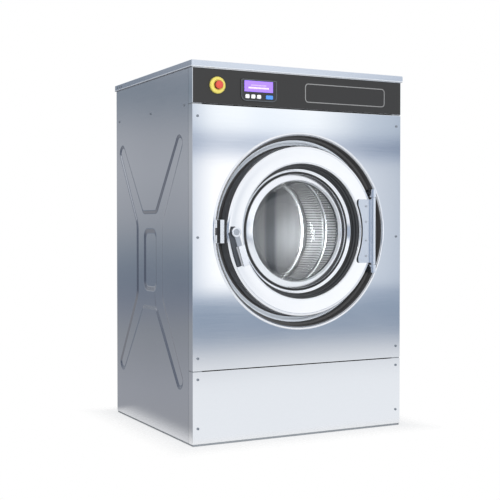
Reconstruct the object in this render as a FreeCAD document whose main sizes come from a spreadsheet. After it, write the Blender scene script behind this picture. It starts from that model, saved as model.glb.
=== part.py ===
import FreeCAD, Part
import math
import os
import re
import Sketcher
from FreeCAD import Placement, Rotation, Vector

# Front-loading washing machine bolted to the floor.
# X runs to the right, Y to the back, Z up; the origin is on the floor in the middle of the anchor holes.
# "Depth" is measured back from the face of the front panels.

doc = FreeCAD.newDocument("washing_machine")

sizes = {
    # Cabinet sheet metal
    "panel_sheet": 2,
    "panel_seam": 3,
    "front_return": 28,
    "return_gap": 1,
    "floor_gap": 6,
    "cover_sheet": 2,
    "cover_skirt": 20,
    "cover_overhang": 5,
    "lower_panel_height": 218,
    "console_height": 108,
    "door_top_margin": 72,
    "side_space": 92,
    "under_tub_space": 289,
    "rear_space": 42,
    # Sunk X of the side panels
    "emboss_depth": 3,
    "emboss_slope": 4,
    "emboss_front_margin": 62,
    "emboss_rear_margin": 23,
    "emboss_foot": 152,
    "emboss_top_margin": 206,
    "emboss_arm": 50,
    "emboss_waist": 225,
    "emboss_waist_rise": 117,
    "emboss_notch": 110,
    "emboss_notch_rise": 160,
    "emboss_tip_round": 24,
    "emboss_waist_round": 60,
    "emboss_notch_round": 16,
    "emboss_pocket_width": 101,
    "emboss_pocket_height": 193,
    "emboss_pocket_round": 26,
    # Panel screws
    "screw_head_radius": 3,
    "screw_head_height": 1.4,
    "screw_shank_radius": 1.6,
    "screw_fit": 0.1,
    "front_screw_inset": 17,
    "front_screw_top": 37,
    "front_screw_bottom": 39,
    "lower_screw_top": 24,
    "lower_screw_bottom": 47,
    "side_screw_front": 59,
    "side_screw_middle": 329,
    "side_screw_rear": 30,
    # Base frame and uprights
    "base_height": 70,
    "base_rail": 60,
    "base_wall": 6,
    "anchor_inset": 35,
    "anchor_hole_radius": 7,
    "cross_member_width": 40,
    "post_width": 30,
    "front_post_depth": 40,
    "rear_post_depth": 22,
    "post_wall": 3,
    "rail_height": 30,
    "rail_sheet": 4,
    # Drum and tub
    "drum_radius": 255,
    "drum_wall": 3,
    "drum_depth": 332,
    "drum_rim": 50,
    "drum_rim_plate": 4,
    "drum_back_plate": 4,
    "drum_hub_radius": 45,
    "drum_hub_length": 22,
    "lifter_height": 45,
    "lifter_foot": 70,
    "lifter_crest": 26,
    "lifter_end_gap": 12,
    "tub_gap": 22,
    "tub_wall": 3,
    "tub_plate": 3,
    "tub_back_plate": 4,
    "tub_front_gap": 26,
    "tub_back_gap": 28,
    "tub_flange": 7,
    "cradle_plate": 8,
    "cradle_setback": 50,
    "cradle_side_gap": 20,
    "cradle_drop": 110,
    "cradle_window_width": 300,
    "cradle_window_foot": 60,
    "cradle_window_top": 50,
    # Bearings, pulleys, belts and motor
    "shaft_radius": 22.5,
    "running_fit": 0.05,
    "bearing_radius": 42.5,
    "bearing_width": 19,
    "bearing_front_set": 16,
    "bearing_rear_set": 4,
    "shaft_seal_width": 10,
    "shaft_seal_set": 2,
    "housing_length": 119,
    "housing_radius": 65,
    "housing_flange_radius": 110,
    "housing_flange": 10,
    "pulley_gap": 7,
    "pulley_rib": 1.6,
    "pulley_rim": 14,
    "pulley_web": 8,
    "drum_pulley_radius": 160,
    "drum_pulley_hub": 40,
    "motor_pulley_radius": 40,
    "motor_pulley_hub": 18,
    "belt_width": 9,
    "belt_height": 8,
    "running_gap": 0.3,
    "shaft_end": 4,
    "motor_offset": 150,
    "motor_rise": 145,
    "motor_radius": 75,
    "motor_length": 135,
    "motor_pulley_gap": 17,
    "motor_shaft_radius": 12,
    "motor_foot_plate": 8,
    "motor_saddle": 8,
    "motor_saddle_inset": 15,
    "motor_saddle_half": 70,
    # Water and drain
    "drain_offset": 60,
    "drain_depth": 285,
    "spigot_radius": 30,
    "spigot_wall": 4,
    "spigot_length": 30,
    "drain_valve_width": 90,
    "drain_valve_length": 90,
    "drain_valve_height": 100,
    "drain_valve_neck": 34,
    "drain_pipe_radius": 37.5,
    "drain_pipe_wall": 3.5,
    "drain_pipe_step": 1.5,
    "drain_pipe_reach": 45,
    "rear_hole_fit": 0.5,
    "vent_width": 140,
    "vent_height": 6,
    "vent_pitch": 18,
    "vent_foot": 330,
    "vent_side_gap": 175,
    "fill_spigot_radius": 18,
    "fill_spigot_wall": 3,
    "fill_spigot_length": 40,
    "valve_side_gap": 195,
    "valve_pitch": 80,
    "valve_drop": 75,
    "valve_thread_radius": 13.2,
    "valve_neck_step": 1.2,
    "valve_thread_reach": 18,
    "valve_width": 38,
    "valve_length": 46,
    "valve_height": 54,
    "valve_hose_radius": 8,
    "valve_hose_length": 128,
    "box_width": 190,
    "box_length": 150,
    "box_height": 118,
    "box_wall": 3,
    "box_ledge": 13,
    "box_ledge_height": 5,
    "lid_gap": 1.5,
    "lid_margin": 6,
    "lid_notch_radius": 12,
    # Electrics
    "gland_side_gap": 125,
    "gland_radius": 10,
    "gland_nut_radius": 15,
    "gland_nut_length": 10,
    "gland_bore_radius": 6,
    "inverter_width": 130,
    "inverter_length": 200,
    "inverter_height": 160,
    "inverter_side_gap": 45,
    "inverter_setback": 20,
    "board_sheet": 1.6,
    "board_standoff": 24,
    "board_margin": 4,
    "standoff_radius": 3,
    # Console
    "fascia_sheet": 1,
    "fascia_side": 2,
    "fascia_foot": 1.5,
    "fascia_top_gap": 2,
    "bezel_side_gap": 222,
    "bezel_width": 124,
    "bezel_height": 67,
    "bezel_foot": 15.5,
    "bezel_sheet": 3,
    "bezel_round": 16,
    "bezel_top_round": 4,
    "screen_width": 98.6,
    "screen_height": 33.3,
    "screen_offset": 1.3,
    "screen_top": 4.7,
    "screen_sheet": 2,
    "key_foot": 8.5,
    "key_height": 12,
    "key_width": 13.5,
    "start_key_width": 24.4,
    "key_pitch": 19.8,
    "key_first": 41,
    "start_key_offset": 34.5,
    "key_proud": 2,
    "key_travel": 1,
    "key_fit": 0.4,
    "estop_side_gap": 81,
    "estop_rise": 57,
    "estop_collar_radius": 25.5,
    "estop_step_radius": 19,
    "estop_base": 5,
    "estop_collar_height": 10,
    "estop_floor": 2,
    "estop_head_radius": 13,
    "estop_head_height": 12,
    "estop_stem_radius": 6,
    "estop_barrel_radius": 11,
    "estop_barrel_length": 38,
    "estop_travel": 4,
    "estop_fit": 0.4,
    # Door opening, from the front face inwards
    "lip_width": 11,
    "lip_proud": 5,
    "lip_bevel": 2.5,
    "recess_fit": 0.3,
    "recess_wall": 2.7,
    "recess_wall_depth": 24,
    "recess_step": 8,
    "recess_sheet": 2,
    "cone_taper": 19,
    "cone_wall": 2,
    "seal_gap": 0.3,
    "gasket_lip": 4.7,
    "gasket_lip_width": 28,
    "gasket_neck": 3,
    "gasket_tail_width": 15,
    "gasket_tail": 4,
    "gasket_swing_gap": 2,
    # Door
    "door_gap": 22,
    "ring_width": 57,
    "ring_sheet": 2,
    "ring_proud": 14,
    "ring_inner_proud": 5,
    "ring_shoulder": 19,
    "ring_depth": 34,
    "ring_round": 11,
    "crown_round": 30,
    "cuff_flare": 18,
    "cuff_wall": 4,
    "cuff_lip_gap": 0.3,
    "cuff_foot": 25,
    "cuff_foot_plate": 6,
    "glass_view_radius": 160,
    "clamp_ring_width": 32,
    "clamp_ring_plate": 4,
    "clamp_groove_offset": 20.5,
    "clamp_groove_width": 3.5,
    "clamp_groove_depth": 1.5,
    "clamp_fit": 0.4,
    "glass_seat_depth": 40,
    "seat_shelf": 4,
    "seat_overlap": 18,
    "glass_thickness": 6,
    "glass_fit": 0.5,
    "glass_neck": 8,
    "bowl_depth": 85,
    "bowl_taper": 32,
    "bowl_round": 16,
    "retainer_plate": 3,
    "retainer_overlap": 17,
    "retainer_gap": 2.5,
    # Hinge
    "hinge_inset": 15,
    "hinge_proud": 24,
    "hinge_column_radius": 7,
    "hinge_column_half": 108,
    "hinge_pin_radius": 4,
    "hinge_pin_end": 2,
    "hinge_plate": 4,
    "hinge_plate_half": 102,
    "hinge_plate_edge": 6,
    "hinge_web": 10,
    "hinge_bracket_height": 25,
    "hinge_bracket_gap": 1,
    "hinge_bracket_radius": 8,
    "hinge_screw_inset": 24,
    "hinge_screw_near": 30,
    "hinge_screw_far": 80,
    "door_screw_radius": 3.5,
    "door_screw_height": 2.2,
    "retainer_screw_set": 8,
    "retainer_screw_height": 1.5,
    # Handle and latch
    "handle_offset": 33,
    "handle_drop": 2,
    "handle_lean": 15,
    "handle_gap": 1,
    "handle_hub_radius": 15.5,
    "handle_hub_height": 14,
    "handle_dish_radius": 8.5,
    "handle_dish_depth": 2,
    "handle_neck_width": 16,
    "handle_neck_length": 46,
    "handle_neck_sink": 4,
    "handle_neck_thickness": 8,
    "handle_length": 105,
    "handle_blade_width": 24,
    "handle_blade_length": 66,
    "handle_blade_thickness": 16,
    "handle_blade_lift": 8,
    "spindle_radius": 7,
    "spindle_fit": 0.3,
    "tongue_gap": 4,
    "tongue_thickness": 5,
    "tongue_width": 14,
    "tongue_length": 33,
    "tongue_rest": 75,
    "catch_gap": 4.5,
    "catch_half": 35.5,
    "catch_front": 4,
    "catch_width": 20,
    "catch_slot_fit": 1.5,
    "catch_slot_below": 9,
    "catch_slot_above": 23,
}

# Places worked out from the driving dimensions
layout_rules = {
    "tub_inner": "drum_radius + drum_wall + tub_gap",
    "tub_outer": "tub_inner + tub_wall",
    "half_width": "tub_outer + side_space",
    "inner_half": "half_width - panel_sheet",
    "axis_height": "base_height + under_tub_space + tub_outer",
    "clamp_outer": "glass_view_radius + clamp_ring_width",
    "ring_inner": "clamp_outer + cuff_flare",
    "ring_outer": "ring_inner + ring_width",
    "crown_radius": "ring_outer - ring_shoulder",
    "cone_front": "ring_outer + door_gap",
    "cone_rear": "cone_front - cone_taper",
    "recess_inner": "cone_front + recess_step",
    "recess_outer": "recess_inner + recess_wall",
    "lip_outer": "recess_inner + lip_width",
    "glass_front": "glass_seat_depth + seat_shelf",
    "cuff_back": "glass_front + glass_thickness",
    "recess_depth": "cuff_back + seal_gap + gasket_lip",
    "glass_outer": "glass_view_radius + seat_overlap",
    "bowl_mouth": "glass_view_radius - glass_neck",
    "retainer_inner": "bowl_mouth + glass_thickness + retainer_gap",
    "retainer_outer": "glass_outer + retainer_overlap",
    "gasket_inner": "retainer_outer + gasket_swing_gap",
    "gasket_neck_outer": "gasket_inner + gasket_neck",
    "tub_front": "recess_depth + tub_plate",
    "drum_front": "tub_front + tub_front_gap",
    "drum_start": "drum_front + drum_rim_plate",
    "drum_end": "drum_start + drum_depth",
    "drum_back": "drum_end + drum_back_plate",
    "tub_end": "drum_back + tub_back_gap",
    "housing_start": "tub_end + tub_back_plate",
    "housing_end": "housing_start + housing_length",
    "pulley_start": "housing_end + pulley_gap",
    "groove_width": "belt_width + 2 * running_gap",
    "pulley_width": "2 * groove_width + 3 * pulley_rib",
    "pulley_end": "pulley_start + pulley_width",
    "rear_inner": "pulley_end + rear_space",
    "cabinet_depth": "rear_inner + panel_sheet",
    "front": "-cabinet_depth / 2",
    "rear": "cabinet_depth / 2",
    "side_start": "front_return + return_gap",
    "lower_seam": "floor_gap + lower_panel_height",
    "console_seam": "axis_height + lip_outer + door_top_margin",
    "cover_bottom": "console_seam + console_height",
    "top": "cover_bottom + cover_skirt",
    "cover_under": "top - cover_sheet",
    "console_foot": "console_seam + panel_seam / 2",
    "rail_bottom": "cover_under - rail_height",
    "post_inner": "inner_half - post_width",
    "drum_outer": "drum_radius + drum_wall",
    "hinge_reach": "ring_outer - hinge_inset",
    "handle_reach": "ring_inner + handle_offset",
    "handle_height": "axis_height - handle_drop",
    "motor_height": "base_height + motor_rise",
    "motor_end": "pulley_start - motor_pulley_gap",
    "motor_start": "motor_end - motor_length",
    "spigot_bottom": "axis_height - tub_outer - spigot_length",
    "drain_valve_top": "spigot_bottom - drain_valve_neck",
    "drain_valve_bottom": "drain_valve_top - drain_valve_height",
    "drain_height": "drain_valve_bottom + drain_valve_height / 2",
    "valve_height_mid": "cover_under - valve_drop",
    "valve_offset": "half_width - valve_side_gap",
    "vent_offset": "half_width - vent_side_gap",
    "box_rear": "rear_inner - valve_length - valve_hose_length",
    "box_front": "box_rear - box_length",
    "box_mid": "box_rear - box_length / 2",
    "box_left": "valve_offset - box_width / 2",
    "box_right": "valve_offset + box_width / 2",
    "box_foot": "cover_under - box_height",
    "fill_spigot_top": "axis_height + sqrt(tub_outer ^ 2 - valve_offset ^ 2) + fill_spigot_length",
    "gland_offset": "half_width - gland_side_gap",
    "fascia_front": "-fascia_sheet",
    "bezel_centre": "half_width - bezel_side_gap",
    "bezel_front": "fascia_front - bezel_sheet",
    "bezel_bottom": "console_seam + bezel_foot",
    "estop_offset": "half_width - estop_side_gap",
    "estop_height": "console_seam + estop_rise",
    "tongue_front": "ring_depth + tongue_gap",
    "tongue_back": "tongue_front + tongue_thickness",
    "catch_face": "ring_outer + catch_gap",
}

sheet = doc.addObject("Spreadsheet::Sheet", "Sizes")
for row, (alias, number) in enumerate(sizes.items(), start=1):
    sheet.set(f"A{row}", alias)
    sheet.set(f"B{row}", str(number))
    sheet.setAlias(f"B{row}", alias)
doc.recompute()

layout = doc.addObject("App::VarSet", "Layout")
places = {alias: f"Sizes.{alias}" for alias in sizes}
places.update({name: f"Layout.{name}" for name in layout_rules})


def formula(text):
    return re.sub(r"[a-z_]+", lambda word: places.get(word.group(0), word.group(0)), str(text))


def value(text):
    return float(sheet.evalExpression(formula(text)))


def bind(item, prop, text):
    item.setExpression(prop, formula(text))


for name, rule in layout_rules.items():
    layout.addProperty("App::PropertyFloat", name)
    bind(layout, name, rule)
doc.recompute()

subparts = {}
along = {
    "x": Rotation(Vector(0, 1, 0), 90),
    "y": Rotation(Vector(1, 0, 0), -90),
    "z": Rotation(),
}


def keep(node, item):
    item.Label = node
    subparts[node] = item


def back(depth):
    return f"front + ({depth})"


def block(name, x, y, z):
    solid = doc.addObject("Part::Box", name)
    for prop, letter, (low, high) in (("Length", "x", x), ("Width", "y", y), ("Height", "z", z)):
        bind(solid, prop, f"({high}) - ({low})")
        bind(solid, f"Placement.Base.{letter}", low)
    return solid


def set_along(solid, axis, at, start):
    solid.Placement = Placement(Vector(), along[axis])
    spots = dict(zip([letter for letter in "xyz" if letter != axis], at))
    spots[axis] = start
    for letter, text in spots.items():
        bind(solid, f"Placement.Base.{letter}", text)
    return solid


def rod(name, axis, at, radius, span):
    solid = doc.addObject("Part::Cylinder", name)
    bind(solid, "Radius", radius)
    bind(solid, "Height", f"({span[1]}) - ({span[0]})")
    return set_along(solid, axis, at, span[0])


def taper(name, axis, at, radii, span):
    solid = doc.addObject("Part::Cone", name)
    bind(solid, "Radius1", radii[0])
    bind(solid, "Radius2", radii[1])
    bind(solid, "Height", f"({span[1]}) - ({span[0]})")
    return set_along(solid, axis, at, span[0])


def fuse(name, *pieces):
    solid = doc.addObject("Part::MultiFuse", name)
    solid.Shapes = list(pieces)
    return solid


def cut(name, base, *tools):
    solid = doc.addObject("Part::Cut", name)
    solid.Base = base
    solid.Tool = tools[0] if len(tools) == 1 else fuse(f"{name}_tools", *tools)
    return solid


def common(name, base, tool):
    solid = doc.addObject("Part::Common", name)
    solid.Base = base
    solid.Tool = tool
    return solid


def group(name, pieces):
    solid = doc.addObject("Part::Compound", name)
    solid.Links = list(pieces)
    return solid


def tube(name, axis, at, outer, inner, span):
    return cut(name, rod(f"{name}_outer", axis, at, outer, span), rod(f"{name}_bore", axis, at, inner, span))


def profile(body, role, outline):
    sketch = body.newObject("Sketcher::SketchObject", f"{body.Name}_profile")
    plane = next(item for item in body.Origin.OriginFeatures if item.Role == role)
    sketch.AttachmentSupport = (plane, [""])
    sketch.MapMode = "FlatFace"
    corners = [Vector(value(across), value(up), 0) for across, up in outline]
    count = len(corners)
    for index in range(count):
        sketch.addGeometry(Part.LineSegment(corners[index], corners[(index + 1) % count]), False)
    for index in range(count):
        sketch.addConstraint(Sketcher.Constraint("Coincident", index, 2, (index + 1) % count, 1))
    for index, (corner, (across, up)) in enumerate(zip(corners, outline)):
        for kind, distance, text in (("DistanceX", corner.x, across), ("DistanceY", corner.y, up)):
            number = sketch.addConstraint(Sketcher.Constraint(kind, -1, 1, index, 1, distance))
            bind(sketch, f"Constraints[{number}]", text)
    return sketch


def rounded(body, solid, corners, radius):
    doc.recompute()
    wanted = [(value(across), value(up)) for across, up in corners]
    edges = []
    for index, edge in enumerate(solid.Shape.Edges, start=1):
        curve = edge.Curve
        if not isinstance(curve, Part.Circle):
            continue
        if any(math.dist((curve.Center.y, curve.Radius), spot) < 1e-4 for spot in wanted):
            edges.append(f"Edge{index}")
    fillet = body.newObject("PartDesign::Fillet", f"{body.Name}_round")
    fillet.Base = (solid, edges)
    bind(fillet, "Radius", radius)
    return fillet


# A turned piece: its outline is (along Y, radius), spun about an axis that runs front to back
def turned(name, outline, at=("0", "axis_height"), rounds=()):
    body = doc.addObject("PartDesign::Body", name)
    solid = body.newObject("PartDesign::Revolution", f"{name}_turn")
    sketch = profile(body, "YZ_Plane", outline)
    solid.Profile = sketch
    solid.ReferenceAxis = (sketch, ["H_Axis"])
    solid.Angle = 360
    for corners, radius in rounds:
        solid = rounded(body, solid, corners, radius)
    bind(body, "Placement.Base.x", at[0])
    bind(body, "Placement.Base.z", at[1])
    return body


def deep(outline):
    return [(back(depth), radius) for depth, radius in outline]


# A closed wire across X through corners (y, z), each with its own round
def rounded_wire(x, corners, radii):
    points = [Vector(x, y, z) for y, z in corners]
    arcs = []
    for index, (corner, radius) in enumerate(zip(points, radii)):
        before = (points[index - 1] - corner).normalize()
        after = (points[(index + 1) % len(points)] - corner).normalize()
        half = before.getAngle(after) / 2
        middle = (before + after).normalize()
        centre = corner + middle * (radius / math.sin(half))
        reach = radius / math.tan(half)
        arcs.append((corner + before * reach, centre - middle * radius, corner + after * reach))
    edges = []
    for index, (start, crest, end) in enumerate(arcs):
        edges.append(Part.Arc(start, crest, end).toShape())
        edges.append(Part.LineSegment(end, arcs[(index + 1) % len(arcs)][0]).toShape())
    return Part.Wire(edges)


# Side panels: a flat sheet with a sunk X and a deeper pocket in its middle
def emboss_corners():
    rise = (value("top - emboss_top_margin") - value("emboss_foot")) / 2
    span = (value("cabinet_depth - emboss_rear_margin") - value("emboss_front_margin")) / 2
    waist = value("emboss_waist / 2")
    waist_rise = value("emboss_waist_rise")
    run = Vector(span - waist, rise - waist_rise, 0).normalize()
    arm = value("emboss_arm")
    quarter = [
        (waist, waist_rise, "emboss_waist_round"),
        (span, rise - arm * run.x, "emboss_tip_round"),
        (span - arm * run.y, rise, "emboss_tip_round"),
        (value("emboss_notch / 2"), value("emboss_notch_rise"), "emboss_notch_round"),
    ]
    turns = [
        (1, 1, quarter),
        (-1, 1, quarter[::-1]),
        (-1, -1, quarter),
        (1, -1, quarter[::-1]),
    ]
    return [(y * across, z * up, value(size)) for across, up, part in turns for y, z, size in part]


def sunk(outline, radii, centre, side, start, depth):
    outer = side * value("half_width")
    sheet_wall = value("panel_sheet")
    slope = value("emboss_slope")
    corners = [(centre[0] + y, centre[1] + z) for y, z in outline]
    wire = rounded_wire(outer - side * start, corners, radii)

    def ring(offset, inset):
        moved = wire.makeOffset2D(offset) if offset else wire.copy()
        moved.translate(Vector(-side * inset, 0, 0))
        return moved

    hollow = Part.makeLoft([ring(0, 0), ring(-slope, depth)], True, True)
    rims = [ring(sheet_wall, sheet_wall), ring(sheet_wall - slope, depth + sheet_wall)]
    shell = Part.makeLoft(rims, True, True)
    return shell, hollow


def side_panel(node, side):
    outer = side * value("half_width")
    sheet_wall = value("panel_sheet")
    start = value(back("side_start"))
    floor = value("floor_gap")
    corner = Vector(min(outer, outer - side * sheet_wall), start, floor)
    shape = Part.makeBox(sheet_wall, value("rear") - start, value("cover_under") - floor, corner)
    foot = value("emboss_foot")
    head = value("top - emboss_top_margin")
    first = value(back("emboss_front_margin"))
    last = value("rear - emboss_rear_margin")
    centre = ((first + last) / 2, (foot + head) / 2)
    corners = emboss_corners()
    depth = value("emboss_depth")
    outline = [point[:2] for point in corners]
    rounds = [point[2] for point in corners]
    shell, hollow = sunk(outline, rounds, centre, side, 0, depth)
    half = value("emboss_pocket_width / 2")
    rise = value("emboss_pocket_height / 2")
    pocket = [(half, -rise), (half, rise), (-half, rise), (-half, -rise)]
    pocket_rounds = [value("emboss_pocket_round")] * len(pocket)
    pocket_shell, pocket_hollow = sunk(pocket, pocket_rounds, centre, side, depth, depth)
    shape = shape.fuse([shell, pocket_shell]).cut([hollow, pocket_hollow])
    for hole_depth in side_screw_depths:
        spot = Vector(outer, value(back(hole_depth)), value("console_seam"))
        radius = value("screw_shank_radius + screw_fit")
        shape = shape.cut(Part.makeCylinder(radius, sheet_wall, spot, Vector(-side, 0, 0)))
    panel = doc.addObject("Part::Feature", node)
    panel.Shape = shape.removeSplitter()
    panel.Placement = Placement()
    keep(node, panel)


side_screw_depths = ["side_screw_front", "side_screw_middle", "cabinet_depth - side_screw_rear"]
side_panel("left_side_panel", -1)
side_panel("right_side_panel", 1)

# Panel screws: heads on the sheet, shanks through it
front_screw_x = "half_width - front_screw_inset"
front_screw_heights = [
    "console_seam - front_screw_top",
    "(console_seam - front_screw_top + lower_seam + front_screw_bottom) / 2",
    "lower_seam + front_screw_bottom",
]
lower_screw_heights = ["lower_seam - lower_screw_top", "floor_gap + lower_screw_bottom"]


def front_screw_holes(name, heights):
    return [
        rod(f"{name}_hole", "y", (f"{side} * ({front_screw_x})", height), "screw_shank_radius + screw_fit",
            ("front", back("panel_sheet")))
        for side in (-1, 1) for height in heights
    ]


def screw(name, axis, at, face, way, head_radius, head_height, shank_radius="", shank_length=""):
    def span(start, length):
        ends = [f"({face}) + ({way}) * ({start})", f"({face}) + ({way}) * ({start} + {length})"]
        return ends if way > 0 else ends[::-1]

    head = rod(f"{name}_head", axis, at, head_radius, span("0", head_height))
    if not shank_length:
        return head
    shank = rod(f"{name}_shank", axis, at, shank_radius, span(f"-{shank_length}", shank_length))
    return fuse(name, head, shank)


panel_screw = ("screw_head_radius", "screw_head_height", "screw_shank_radius", "panel_sheet")
screws = [
    screw("front_screw", "y", (f"{side} * ({front_screw_x})", height), "front", -1, *panel_screw)
    for side in (-1, 1) for height in front_screw_heights + lower_screw_heights
]
screws += [
    screw("side_screw", "x", (back(depth), "console_seam"), f"{side} * half_width", side, *panel_screw)
    for side in (-1, 1) for depth in side_screw_depths
]
keep("panel_screws", group("panel_screws", screws))


# Front panels: a face with a folded return at each side
def front_pan(name, z):
    pan = block(f"{name}_pan", ("-half_width", "half_width"), ("front", back("front_return")), z)
    inside_y = (back("panel_sheet"), back("front_return"))
    inside = block(f"{name}_inside", ("-inner_half", "inner_half"), inside_y, z)
    return cut(f"{name}_sheet", pan, inside)


door_hole = rod("door_hole", "y", ("0", "axis_height"), "recess_outer + recess_fit",
                ("front", back("panel_sheet")))
front_sheet = front_pan("front_panel", ("lower_seam + panel_seam / 2", "console_seam - panel_seam / 2"))
keep("front_panel", cut("front_panel", front_sheet, door_hole,
                        *front_screw_holes("front_panel", front_screw_heights)))

lower_sheet = front_pan("lower_front_panel", ("floor_gap", "lower_seam - panel_seam / 2"))
keep("lower_front_panel", cut("lower_front_panel", lower_sheet,
                              *front_screw_holes("lower_front_panel", lower_screw_heights)))

# Console: a steel pan behind a black fascia
estop_at = ("-estop_offset", "estop_height")
barrel_hole = rod("barrel_hole", "y", estop_at, "estop_barrel_radius + estop_fit",
                  (back("fascia_front"), back("panel_sheet")))
console_sheet = front_pan("console", ("console_foot", "cover_under"))
keep("console_panel", cut("console_panel", console_sheet, barrel_hole))

fascia_sheet = block("fascia_plate", ("-(half_width - fascia_side)", "half_width - fascia_side"),
                     (back("fascia_front"), "front"),
                     ("console_foot + fascia_foot", "cover_bottom - fascia_top_gap"))
keep("control_fascia", cut("control_fascia", fascia_sheet, barrel_hole))

# Display: bezel with windows for the screen and the keys
bezel_left = "-bezel_centre - bezel_width / 2"
bezel_right = "-bezel_centre + bezel_width / 2"
bezel_top = "bezel_bottom + bezel_height"
bezel_deep = (back("bezel_front"), back("fascia_front"))
screen_left = "-bezel_centre - screen_offset - screen_width / 2"
screen_right = "-bezel_centre - screen_offset + screen_width / 2"
screen_high = f"{bezel_top} - screen_top"
screen_low = f"{bezel_top} - screen_top - screen_height"
key_low = "bezel_bottom + key_foot"
key_high = "bezel_bottom + key_foot + key_height"
keys = {
    "key_1": ("-bezel_centre - key_first", "key_width"),
    "key_2": ("-bezel_centre - key_first + key_pitch", "key_width"),
    "key_3": ("-bezel_centre - key_first + 2 * key_pitch", "key_width"),
    "key_start": ("-bezel_centre + start_key_offset", "start_key_width"),
}


def bezel_plate():
    body = block("bezel_body", (bezel_left, bezel_right), bezel_deep, ("bezel_bottom", bezel_top))
    corners = []
    rounds = []
    for side, edge in ((1, bezel_left), (-1, bezel_right)):
        for up, level, radius in ((1, "bezel_bottom", "bezel_round"), (-1, bezel_top, "bezel_top_round")):
            x = sorted([(side * 0, edge), (side, f"{edge} + {side} * {radius}")])
            z = sorted([(up * 0, level), (up, f"{level} + {up} * {radius}")])
            corners.append(block("bezel_corner", (x[0][1], x[1][1]), bezel_deep, (z[0][1], z[1][1])))
            centre = (f"{edge} + {side} * {radius}", f"{level} + {up} * {radius}")
            rounds.append(rod("bezel_round", "y", centre, radius, bezel_deep))
    return fuse("bezel_plate", cut("bezel_square", body, *corners), *rounds)


windows = [block("screen_window", (screen_left, screen_right), bezel_deep, (screen_low, screen_high))]
for node, (middle, width) in keys.items():
    key_x = (f"{middle} - {width} / 2", f"{middle} + {width} / 2")
    windows.append(block(f"{node}_window", (f"{key_x[0]} - key_fit", f"{key_x[1]} + key_fit"), bezel_deep,
                         (f"{key_low} - key_fit", f"{key_high} + key_fit")))
    key_y = (back("bezel_front - key_proud"), back("fascia_front - key_travel - key_fit"))
    keep(node, block(node, key_x, key_y, (key_low, key_high)))
keep("display_bezel", cut("display_bezel", bezel_plate(), *windows))
screen_y = (back("fascia_front - screen_sheet"), back("fascia_front"))
keep("display_screen", block("display_screen", (screen_left, screen_right), screen_y,
                             (screen_low, screen_high)))

# Control board behind the console on four standoffs
board_x = (f"{bezel_left} + board_margin", f"{bezel_right} - board_margin")
board_z = ("bezel_bottom + board_margin", f"{bezel_top} - board_margin")
board = block("board_plate", board_x, (back("panel_sheet + board_standoff"),
                                       back("panel_sheet + board_standoff + board_sheet")), board_z)
standoff_y = (back("panel_sheet"), back("panel_sheet + board_standoff"))
standoffs = [
    rod("standoff", "y", (x, z), "standoff_radius", standoff_y)
    for x in (f"{board_x[0]} + 2 * standoff_radius", f"{board_x[1]} - 2 * standoff_radius")
    for z in (f"{board_z[0]} + 2 * standoff_radius", f"{board_z[1]} - 2 * standoff_radius")
]
keep("control_board", fuse("control_board", board, *standoffs))

# Emergency stop: a stepped collar with its threaded barrel, and a sprung head
collar_outline = deep([
    ("fascia_front", "estop_barrel_radius"),
    ("fascia_front", "estop_collar_radius"),
    ("fascia_front - estop_base", "estop_collar_radius"),
    ("fascia_front - estop_collar_height", "estop_step_radius"),
    ("fascia_front - estop_collar_height", "estop_head_radius + estop_fit"),
    ("fascia_front - estop_floor", "estop_head_radius + estop_fit"),
    ("fascia_front - estop_floor", "estop_stem_radius + estop_fit"),
    ("estop_barrel_length", "estop_stem_radius + estop_fit"),
    ("estop_barrel_length", "estop_barrel_radius"),
])
keep("estop_collar", turned("estop_collar", collar_outline, estop_at))
head_back = "fascia_front - estop_floor - estop_travel - estop_fit"
button_outline = deep([
    (f"{head_back} - estop_head_height", "0"),
    (f"{head_back} - estop_head_height", "estop_head_radius"),
    (head_back, "estop_head_radius"),
    (head_back, "estop_stem_radius"),
    ("estop_barrel_length / 2", "estop_stem_radius"),
    ("estop_barrel_length / 2", "0"),
])
keep("estop_button", turned("estop_button", button_outline, estop_at))

# Top cover: a pan with a skirt, cut out for the detergent lid
cover_x = "half_width + cover_overhang"
cover_y = (back("-cover_overhang"), "rear + cover_overhang")
cover_pan = block("cover_pan", (f"-({cover_x})", cover_x), cover_y, ("cover_bottom", "top"))
cover_inside = block("cover_inside", (f"-({cover_x} - cover_sheet)", f"{cover_x} - cover_sheet"),
                     (back("cover_sheet - cover_overhang"), "rear + cover_overhang - cover_sheet"),
                     ("cover_bottom", "cover_under"))
lid_window_x = ("box_left + lid_margin", "box_right - lid_margin")
lid_window_y = (back("box_front + lid_margin"), back("box_rear - lid_margin"))
lid_window = block("lid_window", lid_window_x, lid_window_y, ("cover_under", "top"))
keep("top_cover", cut("top_cover", cover_pan, cover_inside, lid_window))

# Detergent box under the cover, and its lid
box_outer = block("box_outer", ("box_left", "box_right"), (back("box_front"), back("box_rear")),
                  ("box_foot", "cover_under"))
box_cavity = [
    block("box_cavity", (left, right), (back("box_front + box_wall"), back("box_rear - box_wall")),
          ("box_foot + box_wall", "cover_under - box_ledge_height"))
    for left, right in (("box_left + box_wall", "valve_offset - box_wall / 2"),
                        ("valve_offset + box_wall / 2", "box_right - box_wall"))
]
box_mouth = block("box_mouth", ("box_left + box_ledge", "box_right - box_ledge"),
                  (back("box_front + box_ledge"), back("box_rear - box_ledge")),
                  ("cover_under - box_ledge_height", "cover_under"))
fill_at = ("valve_offset", back("box_mid"))
spout_end = "box_foot - fill_spigot_length / 2"
box_spout = rod("box_spout", "z", fill_at, "fill_spigot_radius", (spout_end, "box_foot"))
spout_bore = rod("spout_bore", "z", fill_at, "fill_spigot_radius - fill_spigot_wall",
                 (spout_end, "box_foot + box_wall"))
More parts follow.
